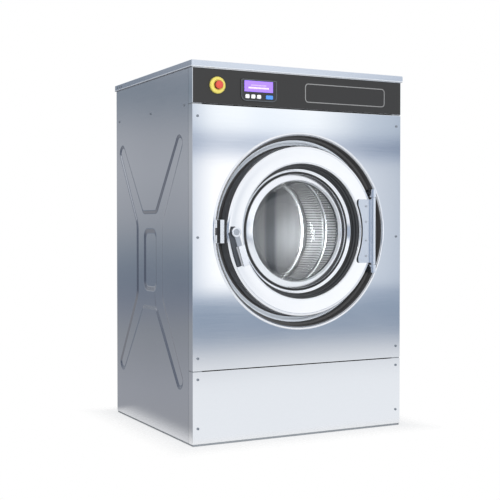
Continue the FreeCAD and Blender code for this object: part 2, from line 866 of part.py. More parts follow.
hose_ports = [
    rod("hose_port", "y", (x, "valve_height_mid"), "valve_hose_radius - box_wall",
        (back("box_rear - box_wall"), back("box_rear")))
    for x in ("valve_offset - valve_pitch / 2", "valve_offset + valve_pitch / 2")
]
keep("dispenser_box", cut("dispenser_box", fuse("box_body", box_outer, box_spout), *box_cavity, box_mouth,
                          spout_bore, *hose_ports))
lid_plate = block("lid_plate", (f"{lid_window_x[0]} + lid_gap", f"{lid_window_x[1]} - lid_gap"),
                  (f"{lid_window_y[0]} + lid_gap", f"{lid_window_y[1]} - lid_gap"), ("cover_under", "top"))
lid_notch = rod("lid_notch", "z", ("valve_offset", f"{lid_window_y[0]} + lid_gap"), "lid_notch_radius",
                ("cover_under", "top"))
keep("dispenser_lid", cut("dispenser_lid", lid_plate, lid_notch))

# Rear panel with holes for the pipe, the valves and the gland
gland_at = ("-gland_offset", "valve_height_mid")
valve_spots = [("valve_offset - valve_pitch / 2", "valve_height_mid"),
               ("valve_offset + valve_pitch / 2", "valve_height_mid")]
drain_at = ("-drain_offset", "drain_height")
rear_deep = (back("rear_inner"), "rear")
rear_sheet = block("rear_sheet", ("-inner_half", "inner_half"), rear_deep, ("floor_gap", "cover_under"))
pipe_run_radius = "drain_pipe_radius - drain_pipe_step"
valve_neck_radius = "valve_thread_radius - valve_neck_step"
rear_holes = [rod("drain_hole", "y", drain_at, f"{pipe_run_radius} + rear_hole_fit", rear_deep),
              rod("gland_hole", "y", gland_at, "gland_radius + rear_hole_fit", rear_deep)]
rear_holes += [rod("valve_hole", "y", spot, f"{valve_neck_radius} + rear_hole_fit", rear_deep)
               for spot in valve_spots]
vent_x = ("vent_offset - vent_width / 2", "vent_offset + vent_width / 2")
vent_count = 8
for number in range(vent_count):
    vent_low = f"vent_foot + {number} * vent_pitch"
    rear_holes.append(block("vent", vent_x, rear_deep, (vent_low, f"{vent_low} + vent_height")))
keep("rear_panel", cut("rear_panel", rear_sheet, *rear_holes))

# Base frame: a ring of channels with cross-members for the motor, and four anchor holes
base_out = ("-inner_half", "inner_half")
base_deep = (back("panel_sheet"), back("rear_inner"))
base_ring = block("base_ring", base_out, base_deep, ("0", "base_height"))
base_channel = block("base_channel", ("-(inner_half - base_wall)", "inner_half - base_wall"),
                     (back("panel_sheet + base_wall"), back("rear_inner - base_wall")),
                     ("base_wall", "base_height - base_wall"))
base_opening = block("base_opening", ("-(inner_half - base_rail)", "inner_half - base_rail"),
                     (back("panel_sheet + base_rail"), back("rear_inner - base_rail")), ("0", "base_height"))
anchor_holes = [
    rod("anchor_hole", "z", (f"{side} * (half_width - anchor_inset)", f"{end} * (rear - anchor_inset)"),
        "anchor_hole_radius", ("0", "base_wall"))
    for side in (-1, 1) for end in (-1, 1)
]
member_starts = ["motor_start + motor_saddle_inset + motor_saddle / 2 - cross_member_width / 2",
                 "motor_end - motor_saddle_inset - motor_saddle / 2 - cross_member_width / 2"]


def cross_member(start):
    x = ("-(inner_half - base_rail)", "inner_half - base_rail")
    end = f"{start} + cross_member_width"
    tube_outer = block("member", x, (back(start), back(end)), ("0", "base_height"))
    tube_bore = block("member_bore", x, (back(f"{start} + base_wall"), back(f"{end} - base_wall")),
                      ("base_wall", "base_height - base_wall"))
    return cut("cross_member", tube_outer, tube_bore)


base_body = cut("base_body", base_ring, base_channel, base_opening, *anchor_holes)
keep("base_frame", fuse("base_frame", base_body, *[cross_member(start) for start in member_starts]))

# Upright frame: four hollow posts joined by flat rails under the cover
front_post_y = (back("panel_sheet"), back("panel_sheet + front_post_depth"))
rear_post_y = (back("rear_inner - rear_post_depth"), back("rear_inner"))


def post(side, y):
    x = [f"{side} * inner_half", f"{side} * post_inner"][::-side]
    bore_x = [f"{side} * (inner_half - post_wall)", f"{side} * (post_inner + post_wall)"][::-side]
    bore_y = (f"{y[0]} + post_wall", f"{y[1]} - post_wall")
    outer = block("post", x, y, ("base_height", "cover_under"))
    bore = block("post_bore", bore_x, bore_y, ("base_height", "cover_under"))
    return cut("post_tube", outer, bore)


posts = [post(side, y) for side in (-1, 1) for y in (front_post_y, rear_post_y)]
rail_z = ("rail_bottom", "cover_under")
cross_x = ("-post_inner", "post_inner")
side_y = (front_post_y[1], rear_post_y[0])
rails = [
    block("front_rail", cross_x, (front_post_y[0], f"{front_post_y[0]} + rail_sheet"), rail_z),
    block("rear_rail", cross_x, (f"{rear_post_y[1]} - rail_sheet", rear_post_y[1]), rail_z),
    block("left_rail", ("-inner_half", "-inner_half + rail_sheet"), side_y, rail_z),
    block("right_rail", ("inner_half - rail_sheet", "inner_half"), side_y, rail_z),
]
keep("upright_frame", fuse("upright_frame", *posts, *rails))

# Door opening: bright lip, black recess wall, bright cone
lip_outline = deep([
    ("0", "recess_inner"),
    ("0", "lip_outer"),
    ("lip_bevel - lip_proud", "lip_outer"),
    ("-lip_proud", "lip_outer - lip_bevel"),
    ("-lip_proud", "recess_inner + lip_bevel"),
    ("lip_bevel - lip_proud", "recess_inner"),
])
keep("lip_ring", turned("lip_ring", lip_outline))
recess_outline = deep([
    ("0", "recess_outer"),
    ("0", "recess_inner"),
    ("recess_wall_depth - recess_sheet", "recess_inner"),
    ("recess_wall_depth - recess_sheet", "cone_front"),
    ("recess_wall_depth", "cone_front"),
    ("recess_wall_depth", "recess_outer"),
])
keep("recess_ring", turned("recess_ring", recess_outline))
cone_outline = deep([
    ("recess_wall_depth", "cone_front"),
    ("recess_wall_depth", "recess_outer"),
    ("recess_wall_depth + cone_wall", "recess_outer"),
    ("recess_wall_depth + cone_wall", "cone_front + cone_wall"),
    ("recess_depth", "cone_rear + cone_wall"),
    ("recess_depth", "cone_rear"),
])
keep("collar_cone", turned("collar_cone", cone_outline))

# Gasket clipped round the tub's mouth
gasket_front = "cuff_back + seal_gap"
gasket_outline = deep([
    (gasket_front, "gasket_inner"),
    (gasket_front, "gasket_inner + gasket_lip_width"),
    ("recess_depth", "gasket_inner + gasket_lip_width"),
    ("recess_depth", "gasket_neck_outer"),
    ("tub_front", "gasket_neck_outer"),
    ("tub_front", "gasket_inner + gasket_tail_width"),
    ("tub_front + gasket_tail", "gasket_inner + gasket_tail_width"),
    ("tub_front + gasket_tail", "gasket_inner"),
])
keep("door_gasket", turned("door_gasket", gasket_outline))

# Tub: front plate, and shell welded to its back plate, with spigots for the fill and the drain
plate_outer = "max(tub_outer; cone_rear + cone_wall) + tub_flange"
keep("tub_front_plate", turned("tub_front_plate", deep([
    ("recess_depth", "gasket_neck_outer"),
    ("recess_depth", plate_outer),
    ("tub_front", plate_outer),
    ("tub_front", "gasket_neck_outer"),
])))
tub_shell = turned("tub_shell", deep([
    ("tub_front", "tub_inner"),
    ("tub_front", "tub_outer"),
    ("housing_start", "tub_outer"),
    ("housing_start", "bearing_radius"),
    ("tub_end", "bearing_radius"),
    ("tub_end", "tub_inner"),
]))
tub_hollow = rod("tub_hollow", "y", ("0", "axis_height"), "tub_inner", (back("tub_front"), back("tub_end")))
spigot_at = ("-drain_offset", back("drain_depth"))
fill_bottom = "fill_spigot_top - 2 * fill_spigot_length"
drain_top = "axis_height - tub_inner / 2"
drain_spigot = rod("drain_spigot", "z", spigot_at, "spigot_radius", ("spigot_bottom", drain_top))
fill_spigot = rod("fill_spigot", "z", fill_at, "fill_spigot_radius", (fill_bottom, "fill_spigot_top"))
spigots = fuse("spigots", drain_spigot, fill_spigot)
spigot_bores = [
    rod("drain_bore", "z", spigot_at, "spigot_radius - spigot_wall", ("spigot_bottom", "axis_height")),
    rod("fill_bore", "z", fill_at, "fill_spigot_radius - fill_spigot_wall",
        ("axis_height", "fill_spigot_top")),
]
tub_body = fuse("tub_body", tub_shell, cut("spigot_tubes", spigots, tub_hollow))
keep("outer_tub", cut("outer_tub", tub_body, *spigot_bores))

# Cradles that carry the tub on the base
cradle_half = "inner_half - 2 * emboss_depth - cradle_side_gap"


def cradle(start):
    y = (back(start), back(f"{start} + cradle_plate"))
    plate_z = ("base_height", "axis_height - cradle_drop")
    plate = block("cradle_blank", (f"-({cradle_half})", cradle_half), y, plate_z)
    saddle = rod("cradle_saddle", "y", ("0", "axis_height"), "tub_outer", y)
    window = block("cradle_window", ("-cradle_window_width / 2", "cradle_window_width / 2"), y,
                   ("base_height + cradle_window_foot", "axis_height - tub_outer - cradle_window_top"))
    return cut("cradle", plate, saddle, window)


keep("tub_cradles", group("tub_cradles", [cradle("tub_front + cradle_setback"),
                                          cradle("tub_end - cradle_setback")]))

# Bearing housing, bearings and seal
keep("bearing_housing", turned("bearing_housing", deep([
    ("housing_start", "bearing_radius"),
    ("housing_start", "housing_flange_radius"),
    ("housing_start + housing_flange", "housing_flange_radius"),
    ("housing_start + housing_flange", "housing_radius"),
    ("housing_end", "housing_radius"),
    ("housing_end", "bearing_radius"),
])))


def shaft_ring(name, start, width):
    return turned(name, deep([
        (start, "shaft_radius + running_fit"),
        (start, "bearing_radius"),
        (f"{start} + {width}", "bearing_radius"),
        (f"{start} + {width}", "shaft_radius + running_fit"),
    ]))


keep("drum_bearings", group("drum_bearings", [
    shaft_ring("front_bearing", "housing_start + bearing_front_set", "bearing_width"),
    shaft_ring("rear_bearing", "housing_end - bearing_rear_set - bearing_width", "bearing_width"),
]))
keep("shaft_seal", shaft_ring("shaft_seal", "housing_start + shaft_seal_set", "shaft_seal_width"))

# Drum: shell with its front rim, back plate with its hub, lifters and shaft
keep("drum_shell", turned("drum_shell", deep([
    ("drum_front", "drum_radius - drum_rim"),
    ("drum_front", "drum_outer"),
    ("drum_end", "drum_outer"),
    ("drum_end", "drum_radius"),
    ("drum_start", "drum_radius"),
    ("drum_start", "drum_radius - drum_rim"),
])))
keep("drum_back", turned("drum_back", deep([
    ("drum_end", "0"),
    ("drum_end", "drum_outer"),
    ("drum_back", "drum_outer"),
    ("drum_back", "2 * drum_hub_radius"),
    ("drum_back + drum_hub_length / 2", "drum_hub_radius"),
    ("drum_back + drum_hub_length", "drum_hub_radius"),
    ("drum_back + drum_hub_length", "shaft_radius"),
    ("drum_back", "shaft_radius"),
    ("drum_back", "0"),
])))


def lifter(turn):
    body = doc.addObject("PartDesign::Body", "lifter_bar")
    sketch = profile(body, "XZ_Plane", [
        ("-lifter_foot / 2", "-drum_radius"),
        ("lifter_foot / 2", "-drum_radius"),
        ("lifter_crest / 2", "lifter_height - drum_radius"),
        ("-lifter_crest / 2", "lifter_height - drum_radius"),
    ])
    bar = body.newObject("PartDesign::Pad", "lifter_pad")
    bar.Profile = sketch
    bar.Reversed = True
    bind(bar, "Length", "drum_depth - 2 * lifter_end_gap")
    body.Placement = Placement(Vector(), Rotation(Vector(0, 1, 0), turn))
    bind(body, "Placement.Base.y", back("drum_start + lifter_end_gap"))
    bind(body, "Placement.Base.z", "axis_height")
    bore_y = (back("drum_start"), back("drum_end"))
    bore = rod("lifter_bore", "y", ("0", "axis_height"), "drum_radius", bore_y)
    return common("lifter", body, bore)


# Three lifters; at rest one lies level at the left and the other two at the right, high and low
lifter_count = 3
lifter_start = 90
lifters = [lifter(lifter_start + 360 / lifter_count * number) for number in range(lifter_count)]
keep("drum_lifters", group("drum_lifters", lifters))
keep("drum_shaft", rod("drum_shaft", "y", ("0", "axis_height"), "shaft_radius",
                       (back("drum_back"), back("pulley_end + shaft_end"))))


# Pulleys with two belt grooves, a web and a hub
def pulley(name, at, radius, hub, bore):
    rim = f"{radius} - pulley_rim"
    floor = f"{radius} - belt_height"
    web = [f"pulley_start + pulley_width / 2 {sign} pulley_web / 2" for sign in "-+"]
    grooves = []
    for number in range(2):
        start = f"pulley_start + pulley_rib + {number} * (groove_width + pulley_rib)"
        end = f"{start} + groove_width"
        grooves += [(start, radius), (start, floor), (end, floor), (end, radius)]
    return turned(name, deep([
        ("pulley_start", bore),
        ("pulley_start", hub),
        (web[0], hub),
        (web[0], rim),
        ("pulley_start", rim),
        ("pulley_start", radius),
        *grooves,
        ("pulley_end", radius),
        ("pulley_end", rim),
        (web[1], rim),
        (web[1], hub),
        ("pulley_end", hub),
        ("pulley_end", bore),
    ]), at)


motor_at = ("motor_offset", "motor_height")
keep("drum_pulley", pulley("drum_pulley", ("0", "axis_height"), "drum_pulley_radius", "drum_pulley_hub",
                           "shaft_radius"))
keep("motor_pulley", pulley("motor_pulley", motor_at, "motor_pulley_radius", "motor_pulley_hub",
                            "motor_shaft_radius"))


# Belts: each is the outline round both pulleys less the same outline one belt height smaller
def round_both(lift, start, width):
    big = Vector(0, value(start), value("axis_height"))
    small = Vector(value("motor_offset"), value(start), value("motor_height"))
    big_radius = value("drum_pulley_radius - belt_height") + lift
    small_radius = value("motor_pulley_radius - belt_height") + lift
    along_run = small - big
    lean = math.asin((big_radius - small_radius) / along_run.Length)
    along_run.normalize()
    across = Vector(-along_run.z, 0, along_run.x)
    sides = [along_run * math.sin(lean) + across * (sign * math.cos(lean)) for sign in (1, -1)]
    big_ends = [big + way * big_radius for way in sides]
    small_ends = [small + way * small_radius for way in sides]
    wire = Part.Wire([
        Part.LineSegment(big_ends[0], small_ends[0]).toShape(),
        Part.Arc(small_ends[0], small + along_run * small_radius, small_ends[1]).toShape(),
        Part.LineSegment(small_ends[1], big_ends[1]).toShape(),
        Part.Arc(big_ends[1], big - along_run * big_radius, big_ends[0]).toShape(),
    ])
    return Part.Face(wire).extrude(Vector(0, width, 0))


def belt(number):
    start = back(f"pulley_start + pulley_rib + {number} * (groove_width + pulley_rib) + running_gap")
    gap = value("running_gap")
    width = value("belt_width")
    return round_both(gap + value("belt_height"), start, width).cut(round_both(gap, start, width))


belts = doc.addObject("Part::Feature", "drive_belts")
belts.Shape = Part.makeCompound([belt(number) for number in range(2)])
belts.Placement = Placement()
keep("drive_belts", belts)

# Motor on two saddles
motor_span = (back("motor_start"), back("motor_end"))
keep("motor_body", tube("motor_body", "y", motor_at, "motor_radius", "motor_shaft_radius + running_fit",
                        motor_span))
keep("motor_shaft", rod("motor_shaft", "y", motor_at, "motor_shaft_radius",
                        (back("motor_start"), back("pulley_end + shaft_end"))))
motor_x = ("motor_offset - motor_saddle_half", "motor_offset + motor_saddle_half")
foot_plate = block("motor_foot", motor_x, motor_span, ("base_height", "base_height + motor_foot_plate"))
saddles = [
    block("motor_saddle", motor_x, (back(start), back(f"{start} + motor_saddle")),
          ("base_height", "motor_height"))
    for start in ("motor_start + motor_saddle_inset", "motor_end - motor_saddle_inset - motor_saddle")
]
motor_seat = rod("motor_seat", "y", motor_at, "motor_radius", motor_span)
keep("motor_bracket", cut("motor_bracket", fuse("motor_stand", foot_plate, *saddles), motor_seat))

# Drain: valve hung from the tub's spigot, pipe out through the rear panel
valve_front = "drain_depth - drain_valve_length / 2"
valve_rear = "drain_depth + drain_valve_length / 2"
valve_x = ("-drain_offset - drain_valve_width / 2", "-drain_offset + drain_valve_width / 2")
drain_body = block("drain_body", valve_x, (back(valve_front), back(valve_rear)),
                   ("drain_valve_bottom", "drain_valve_top"))
drain_neck = rod("drain_neck", "z", spigot_at, "spigot_radius", ("drain_valve_top", "spigot_bottom"))
neck_bore = rod("neck_bore", "z", spigot_at, "spigot_radius - spigot_wall",
                ("drain_height", "spigot_bottom"))
outlet_bore = rod("outlet_bore", "y", drain_at, "spigot_radius - spigot_wall",
                  (back("drain_depth"), back(valve_rear)))
drain_casting = fuse("drain_casting", drain_body, drain_neck)
keep("drain_valve", cut("drain_valve", drain_casting, neck_bore, outlet_bore))
pipe_run = rod("pipe_run", "y", drain_at, pipe_run_radius, (back(valve_rear), "rear"))
pipe_stub = rod("pipe_stub", "y", drain_at, "drain_pipe_radius", ("rear", "rear + drain_pipe_reach"))
pipe_bore = rod("pipe_bore", "y", drain_at, "drain_pipe_radius - drain_pipe_wall",
                (back(valve_rear), "rear + drain_pipe_reach"))
keep("drain_pipe", cut("drain_pipe", fuse("pipe_body", pipe_run, pipe_stub), pipe_bore))


# Water valves on the rear panel, hoses to the detergent box and down to the tub
def water_valve(spot):
    x, z = spot
    body = block("valve_body", (f"{x} - valve_width / 2", f"{x} + valve_width / 2"),
                 (back("rear_inner - valve_length"), back("rear_inner")),
                 (f"{z} - valve_height / 2", f"{z} + valve_height / 2"))
    neck = rod("valve_neck", "y", spot, valve_neck_radius, rear_deep)
    thread = rod("valve_thread", "y", spot, "valve_thread_radius", ("rear", "rear + valve_thread_reach"))
    bore_y = (back("rear_inner"), "rear + valve_thread_reach")
    bore = rod("valve_bore", "y", spot, "valve_hose_radius", bore_y)
    return cut("water_valve", fuse("valve_casting", body, neck, thread), bore)


keep("water_valves", group("water_valves", [water_valve(spot) for spot in valve_spots]))
hoses = [
    tube("inlet_hose", "y", spot, "valve_hose_radius", "valve_hose_radius - box_wall",
         (back("box_rear"), back("rear_inner - valve_length")))
    for spot in valve_spots
]
hoses.append(tube("fill_hose", "z", fill_at, "fill_spigot_radius", "fill_spigot_radius - fill_spigot_wall",
                  ("fill_spigot_top", spout_end)))
keep("water_hoses", group("water_hoses", hoses))

# Cable gland and inverter box
gland_start = back("rear_inner - gland_nut_length")
gland_end = "rear + gland_nut_length"
gland_thread = rod("gland_thread", "y", gland_at, "gland_radius", (gland_start, "rear"))
gland_nut = rod("gland_nut", "y", gland_at, "gland_nut_radius", (gland_start, back("rear_inner")))
gland_cap = rod("gland_cap", "y", gland_at, "gland_nut_radius", ("rear", gland_end))
gland_bore = rod("gland_bore", "y", gland_at, "gland_bore_radius", (gland_start, gland_end))
keep("cable_gland", cut("cable_gland", fuse("gland_pieces", gland_thread, gland_nut, gland_cap), gland_bore))
inverter_left = "-inner_half + inverter_side_gap"
inverter_front = "tub_front + cradle_setback + cradle_plate + inverter_setback"
keep("inverter_box", block("inverter_box", (inverter_left, f"{inverter_left} + inverter_width"),
                           (back(inverter_front), back(f"{inverter_front} + inverter_length")),
                           ("base_height", "base_height + inverter_height")))

# Door ring: a pressed face with a rolled rim and a closed back
cuff_slope = "(clamp_outer + clamp_fit + cuff_wall - ring_inner) / (cuff_back - cuff_foot_plate)"
back_inner = f"ring_inner + ring_sheet + ring_depth * {cuff_slope} + cuff_wall"
ring_outline = deep([
    ("-ring_inner_proud", "ring_inner"),
    ("-ring_proud", "crown_radius"),
    ("-ring_proud", "ring_outer"),
    ("ring_depth", "ring_outer"),
    ("ring_depth", back_inner),
    ("ring_depth - ring_sheet", back_inner),
    ("ring_depth - ring_sheet", "ring_outer - ring_sheet"),
    ("ring_sheet - ring_proud", "ring_outer - ring_sheet"),
    ("ring_sheet - ring_proud", "crown_radius"),
    ("ring_sheet - ring_inner_proud", "ring_inner"),
])
ring_rounds = [
    ([(back("-ring_proud"), "ring_outer")], "ring_round"),
    ([(back("ring_sheet - ring_proud"), "ring_outer - ring_sheet")], "ring_round - ring_sheet"),
    ([(back("-ring_proud"), "crown_radius")], "crown_round"),
]
handle_at = ("-handle_reach", "handle_height")
spindle_hole = rod("spindle_hole", "y", handle_at, "spindle_radius + spindle_fit",
                   (back("-ring_proud"), back("ring_depth")))
keep("door_ring", cut("door_ring", turned("ring_pan", ring_outline, rounds=ring_rounds), spindle_hole))

# Door cuff: dark inner wall with the seat for the glass and the face that meets the gasket
cuff_front = "ring_sheet - ring_inner_proud + cuff_lip_gap"
cuff_outline = deep([
    (cuff_front, "ring_inner - cuff_wall / 2"),
    (cuff_front, "ring_inner + cuff_wall / 2"),
    ("cuff_back - cuff_foot_plate", "clamp_outer + clamp_fit + cuff_wall"),
    ("cuff_back - cuff_foot_plate", "gasket_inner + cuff_foot"),
    ("cuff_back", "gasket_inner + cuff_foot"),
    ("cuff_back", "glass_outer + glass_fit"),
    ("glass_front", "glass_outer + glass_fit"),
    ("glass_front", "glass_view_radius + 2 * clamp_fit"),
    ("glass_seat_depth", "glass_view_radius + 2 * clamp_fit"),
    ("glass_seat_depth", "clamp_outer + clamp_fit"),
    ("glass_seat_depth - clamp_ring_plate", "clamp_outer + clamp_fit"),
])
keep("door_cuff", turned("door_cuff", cuff_outline))

# Bright ring in front of the glass, with a groove
clamp_front = "glass_seat_depth - clamp_ring_plate"
groove_inner = "glass_view_radius + clamp_groove_offset"
keep("glass_clamp_ring", turned("glass_clamp_ring", deep([
    ("glass_seat_depth", "glass_view_radius"),
    (clamp_front, "glass_view_radius"),
    (clamp_front, groove_inner),
    (f"{clamp_front} + clamp_groove_depth", groove_inner),
    (f"{clamp_front} + clamp_groove_depth", f"{groove_inner} + clamp_groove_width"),
    (clamp_front, f"{groove_inner} + clamp_groove_width"),
    (clamp_front, "clamp_outer"),
    ("glass_seat_depth", "clamp_outer"),
])))

# Bowl glass, and the retainer behind its flange
bowl_floor = "cuff_back + bowl_depth"
bowl_outline = deep([
    ("glass_front", "glass_outer"),
    ("cuff_back", "glass_outer"),
    ("cuff_back", "bowl_mouth + glass_thickness"),
    (bowl_floor, "bowl_mouth + glass_thickness - bowl_taper"),
    (bowl_floor, "0"),
    (f"{bowl_floor} - glass_thickness", "0"),
    (f"{bowl_floor} - glass_thickness", "bowl_mouth - bowl_taper"),
    ("glass_front", "bowl_mouth"),
])
bowl_rounds = [
    ([(back(bowl_floor), "bowl_mouth + glass_thickness - bowl_taper")], "bowl_round"),
    ([(back(f"{bowl_floor} - glass_thickness"), "bowl_mouth - bowl_taper")], "bowl_round - glass_thickness"),
]
keep("door_glass", turned("door_glass", bowl_outline, rounds=bowl_rounds))
keep("glass_retainer", turned("glass_retainer", deep([
    ("cuff_back", "retainer_inner"),
    ("cuff_back", "retainer_outer"),
    ("cuff_back + retainer_plate", "retainer_outer"),
    ("cuff_back + retainer_plate", "retainer_inner"),
])))

# Hinge: plate on the door ring with its column, pin, and brackets on the cone
hinge_y = back("-hinge_proud")
hinge_at = ("hinge_reach", hinge_y)
plate_z = ("axis_height - hinge_plate_half", "axis_height + hinge_plate_half")
plate_y = (back("-ring_proud - hinge_plate"), back("-ring_proud"))
column_z = ("axis_height - hinge_column_half", "axis_height + hinge_column_half")
plate_blank = block("plate_blank", ("ring_inner / 2", "hinge_reach"), plate_y, plate_z)
plate_arc = rod("plate_arc", "y", ("0", "axis_height"), "ring_inner + hinge_plate_edge", plate_y)
hinge_web = block("hinge_web", ("hinge_reach - hinge_web", "hinge_reach"), (hinge_y, back("-ring_proud")),
                  plate_z)
column = rod("hinge_column", "z", hinge_at, "hinge_column_radius", column_z)
column_bore = rod("column_bore", "z", hinge_at, "hinge_pin_radius", column_z)
hinge_body = fuse("hinge_body", cut("plate_shape", plate_blank, plate_arc), hinge_web, column)
keep("hinge_plate", cut("hinge_plate", hinge_body, column_bore))
bracket_near = "hinge_column_half + hinge_bracket_gap"
bracket_far = f"{bracket_near} + hinge_bracket_height"
pin_half = f"{bracket_far} + hinge_pin_end"
keep("hinge_pin", rod("hinge_pin", "z", hinge_at, "hinge_pin_radius",
                      (f"axis_height - ({pin_half})", f"axis_height + {pin_half}")))
opening_space = fuse("opening_space",
                     rod("opening_front", "y", ("0", "axis_height"), "recess_inner",
                         (back("-2 * hinge_proud"), back("recess_wall_depth - recess_sheet"))),
                     rod("opening_step", "y", ("0", "axis_height"), "cone_front",
                         (back("recess_wall_depth - recess_sheet"), back("recess_wall_depth"))),
                     taper("opening_cone", "y", ("0", "axis_height"), ("cone_front", "cone_rear"),
                           (back("recess_wall_depth"), back("recess_depth"))))


def hinge_bracket(up):
    ends = [f"axis_height + {up} * ({bracket_near})", f"axis_height + {up} * ({bracket_far})"][::up]
    arm = block("bracket_arm", ("hinge_reach - hinge_column_radius", "hinge_reach + hinge_column_radius"),
                (hinge_y, back("recess_depth")), ends)
    knuckle = rod("bracket_knuckle", "z", hinge_at, "hinge_bracket_radius", ends)
    bore = rod("bracket_bore", "z", hinge_at, "hinge_pin_radius + running_fit", ends)
    trimmed = common("bracket_trimmed", fuse("bracket_blank", arm, knuckle), opening_space)
    return cut("hinge_bracket", trimmed, bore)


keep("hinge_brackets", group("hinge_brackets", [hinge_bracket(up) for up in (1, -1)]))

# Screws of the hinge plate and of the glass retainer
door_screws = [
    screw("hinge_screw", "y", ("hinge_reach - hinge_screw_inset", f"axis_height + {height}"), plate_y[0], -1,
          "door_screw_radius", "door_screw_height")
    for height in ("hinge_screw_near", "-hinge_screw_near", "hinge_screw_far", "-hinge_screw_far")
]
retainer_screw_count = 8
for number in range(retainer_screw_count):
    turn = 2 * math.pi * (number + 0.5) / retainer_screw_count
    reach = "(retainer_outer - retainer_screw_set)"
    spot = (f"{reach} * {math.cos(turn)}", f"axis_height + {reach} * {math.sin(turn)}")
    door_screws.append(screw("retainer_screw", "y", spot, back("cuff_back + retainer_plate"), 1,
                             "door_screw_radius", "retainer_screw_height"))
keep("door_screws", group("door_screws", door_screws))

# Handle: a hub with a lever that hangs down and leans towards the glass
hub_back = "-ring_proud - handle_gap"
hub_front = f"{hub_back} - handle_hub_height"
neck_front = f"{hub_front} + handle_neck_sink"
blade_front = f"{hub_front} - handle_blade_lift"
blade_half = "handle_blade_width / 2"
blade_top = "handle_blade_length - handle_length"
blade_y = (back(blade_front), back(f"{blade_front} + handle_blade_thickness"))
lever_pieces = [
    rod("handle_hub", "y", ("0", "0"), "handle_hub_radius", (back(hub_front), back(hub_back))),
    block("handle_neck", ("-handle_neck_width / 2", "handle_neck_width / 2"),
          (back(neck_front), back(f"{neck_front} + handle_neck_thickness")), ("-handle_neck_length", "0")),
    block("handle_blade", (f"-{blade_half}", blade_half), blade_y,
          ("-handle_length", f"{blade_top} - {blade_half}")),
    rod("blade_end", "y", ("0", f"{blade_top} - {blade_half}"), blade_half, blade_y),
]
handle_dish = rod("handle_dish", "y", ("0", "0"), "handle_dish_radius",
                  (back(hub_front), back(f"{hub_front} + handle_dish_depth")))


def at_handle(item, lean):
    item.Placement = Placement(Vector(), Rotation(Vector(0, 1, 0), 1))
    bind(item, "Placement.Rotation.Angle", lean)
    bind(item, "Placement.Base.x", handle_at[0])
    bind(item, "Placement.Base.z", handle_at[1])
    return item


keep("door_handle", at_handle(cut("door_handle", fuse("lever", *lever_pieces), handle_dish), "-handle_lean"))

# Spindle through the door ring, with the tongue that turns into the catch
spindle = rod("spindle", "y", ("0", "0"), "spindle_radius", (back(hub_back), back("tongue_back")))
tongue_blank = block("tongue_blank", ("-tongue_length", "0"), (back("tongue_front"), back("tongue_back")),
                     ("-tongue_width / 2", "tongue_width / 2"))
keep("latch_spindle", at_handle(fuse("latch_spindle", spindle, tongue_blank), "tongue_rest"))

# Catch on the cone, with a slot that takes the tongue
catch_blank = block("catch_blank", ("-catch_face - catch_width", "-catch_face"),
                    (back("catch_front"), back("recess_depth")),
                    ("axis_height - catch_half", "axis_height + catch_half"))
catch_slot = block("catch_slot", ("-catch_face - catch_width", "-catch_face"),
                   (back("tongue_front - catch_slot_fit"), back("tongue_back + catch_slot_fit")),
                   ("handle_height - catch_slot_below", "handle_height + catch_slot_above"))
keep("latch_catch", cut("latch_catch", common("catch_trimmed", catch_blank, opening_space), catch_slot))

doc.recompute()
failed = [item.Name for item in doc.Objects if {"Invalid", "Error"} & set(item.State)]
if failed:
    raise RuntimeError(f"failed objects: {failed}")
for node, item in subparts.items():
    if item.Shape.isNull() or not item.Shape.isValid() or not item.Shape.Solids:
        raise RuntimeError(f"bad shape: {node}")

os.makedirs("parts", exist_ok=True)
for node, item in subparts.items():
    item.Shape.exportStep(f"parts/{node}.step")
print(f"{len(subparts)} sub-parts written")
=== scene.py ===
import math

import bpy
from mathutils import Matrix, Vector


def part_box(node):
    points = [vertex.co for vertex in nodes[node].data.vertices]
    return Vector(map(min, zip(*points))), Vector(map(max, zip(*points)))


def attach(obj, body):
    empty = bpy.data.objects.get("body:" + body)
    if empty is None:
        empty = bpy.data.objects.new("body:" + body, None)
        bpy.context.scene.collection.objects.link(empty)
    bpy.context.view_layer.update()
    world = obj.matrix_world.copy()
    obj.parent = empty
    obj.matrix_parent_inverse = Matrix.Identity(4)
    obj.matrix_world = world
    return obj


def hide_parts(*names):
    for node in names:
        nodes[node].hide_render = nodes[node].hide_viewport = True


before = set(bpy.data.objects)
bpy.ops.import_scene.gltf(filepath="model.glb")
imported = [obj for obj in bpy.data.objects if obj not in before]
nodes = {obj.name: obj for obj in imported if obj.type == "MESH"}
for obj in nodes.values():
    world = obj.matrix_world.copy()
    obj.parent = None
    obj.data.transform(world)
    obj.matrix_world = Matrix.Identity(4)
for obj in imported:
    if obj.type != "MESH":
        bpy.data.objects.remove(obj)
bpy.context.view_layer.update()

scene = bpy.context.scene
finishes = {}

# Main places of the machine, read from the frame; metres, +Y to the back
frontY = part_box("front_panel")[0].y
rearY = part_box("rear_panel")[1].y
drumLow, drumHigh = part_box("drum_shell")
axisPoint = Vector((0, 0, (drumLow.z + drumHigh.z) / 2))


# Small tools
def deselectAll():
    if bpy.context.mode != "OBJECT":
        bpy.ops.object.mode_set(mode="OBJECT")
    bpy.ops.object.select_all(action="DESELECT")


def pick(piece):
    deselectAll()
    piece.select_set(True)
    bpy.context.view_layer.objects.active = piece


# Names the object that the last step made
def fresh(name):
    piece = bpy.context.active_object
    piece.name = name
    return piece


def editPiece(piece, choice="DESELECT"):
    pick(piece)
    bpy.ops.object.mode_set(mode="EDIT")
    bpy.ops.mesh.select_all(action=choice)


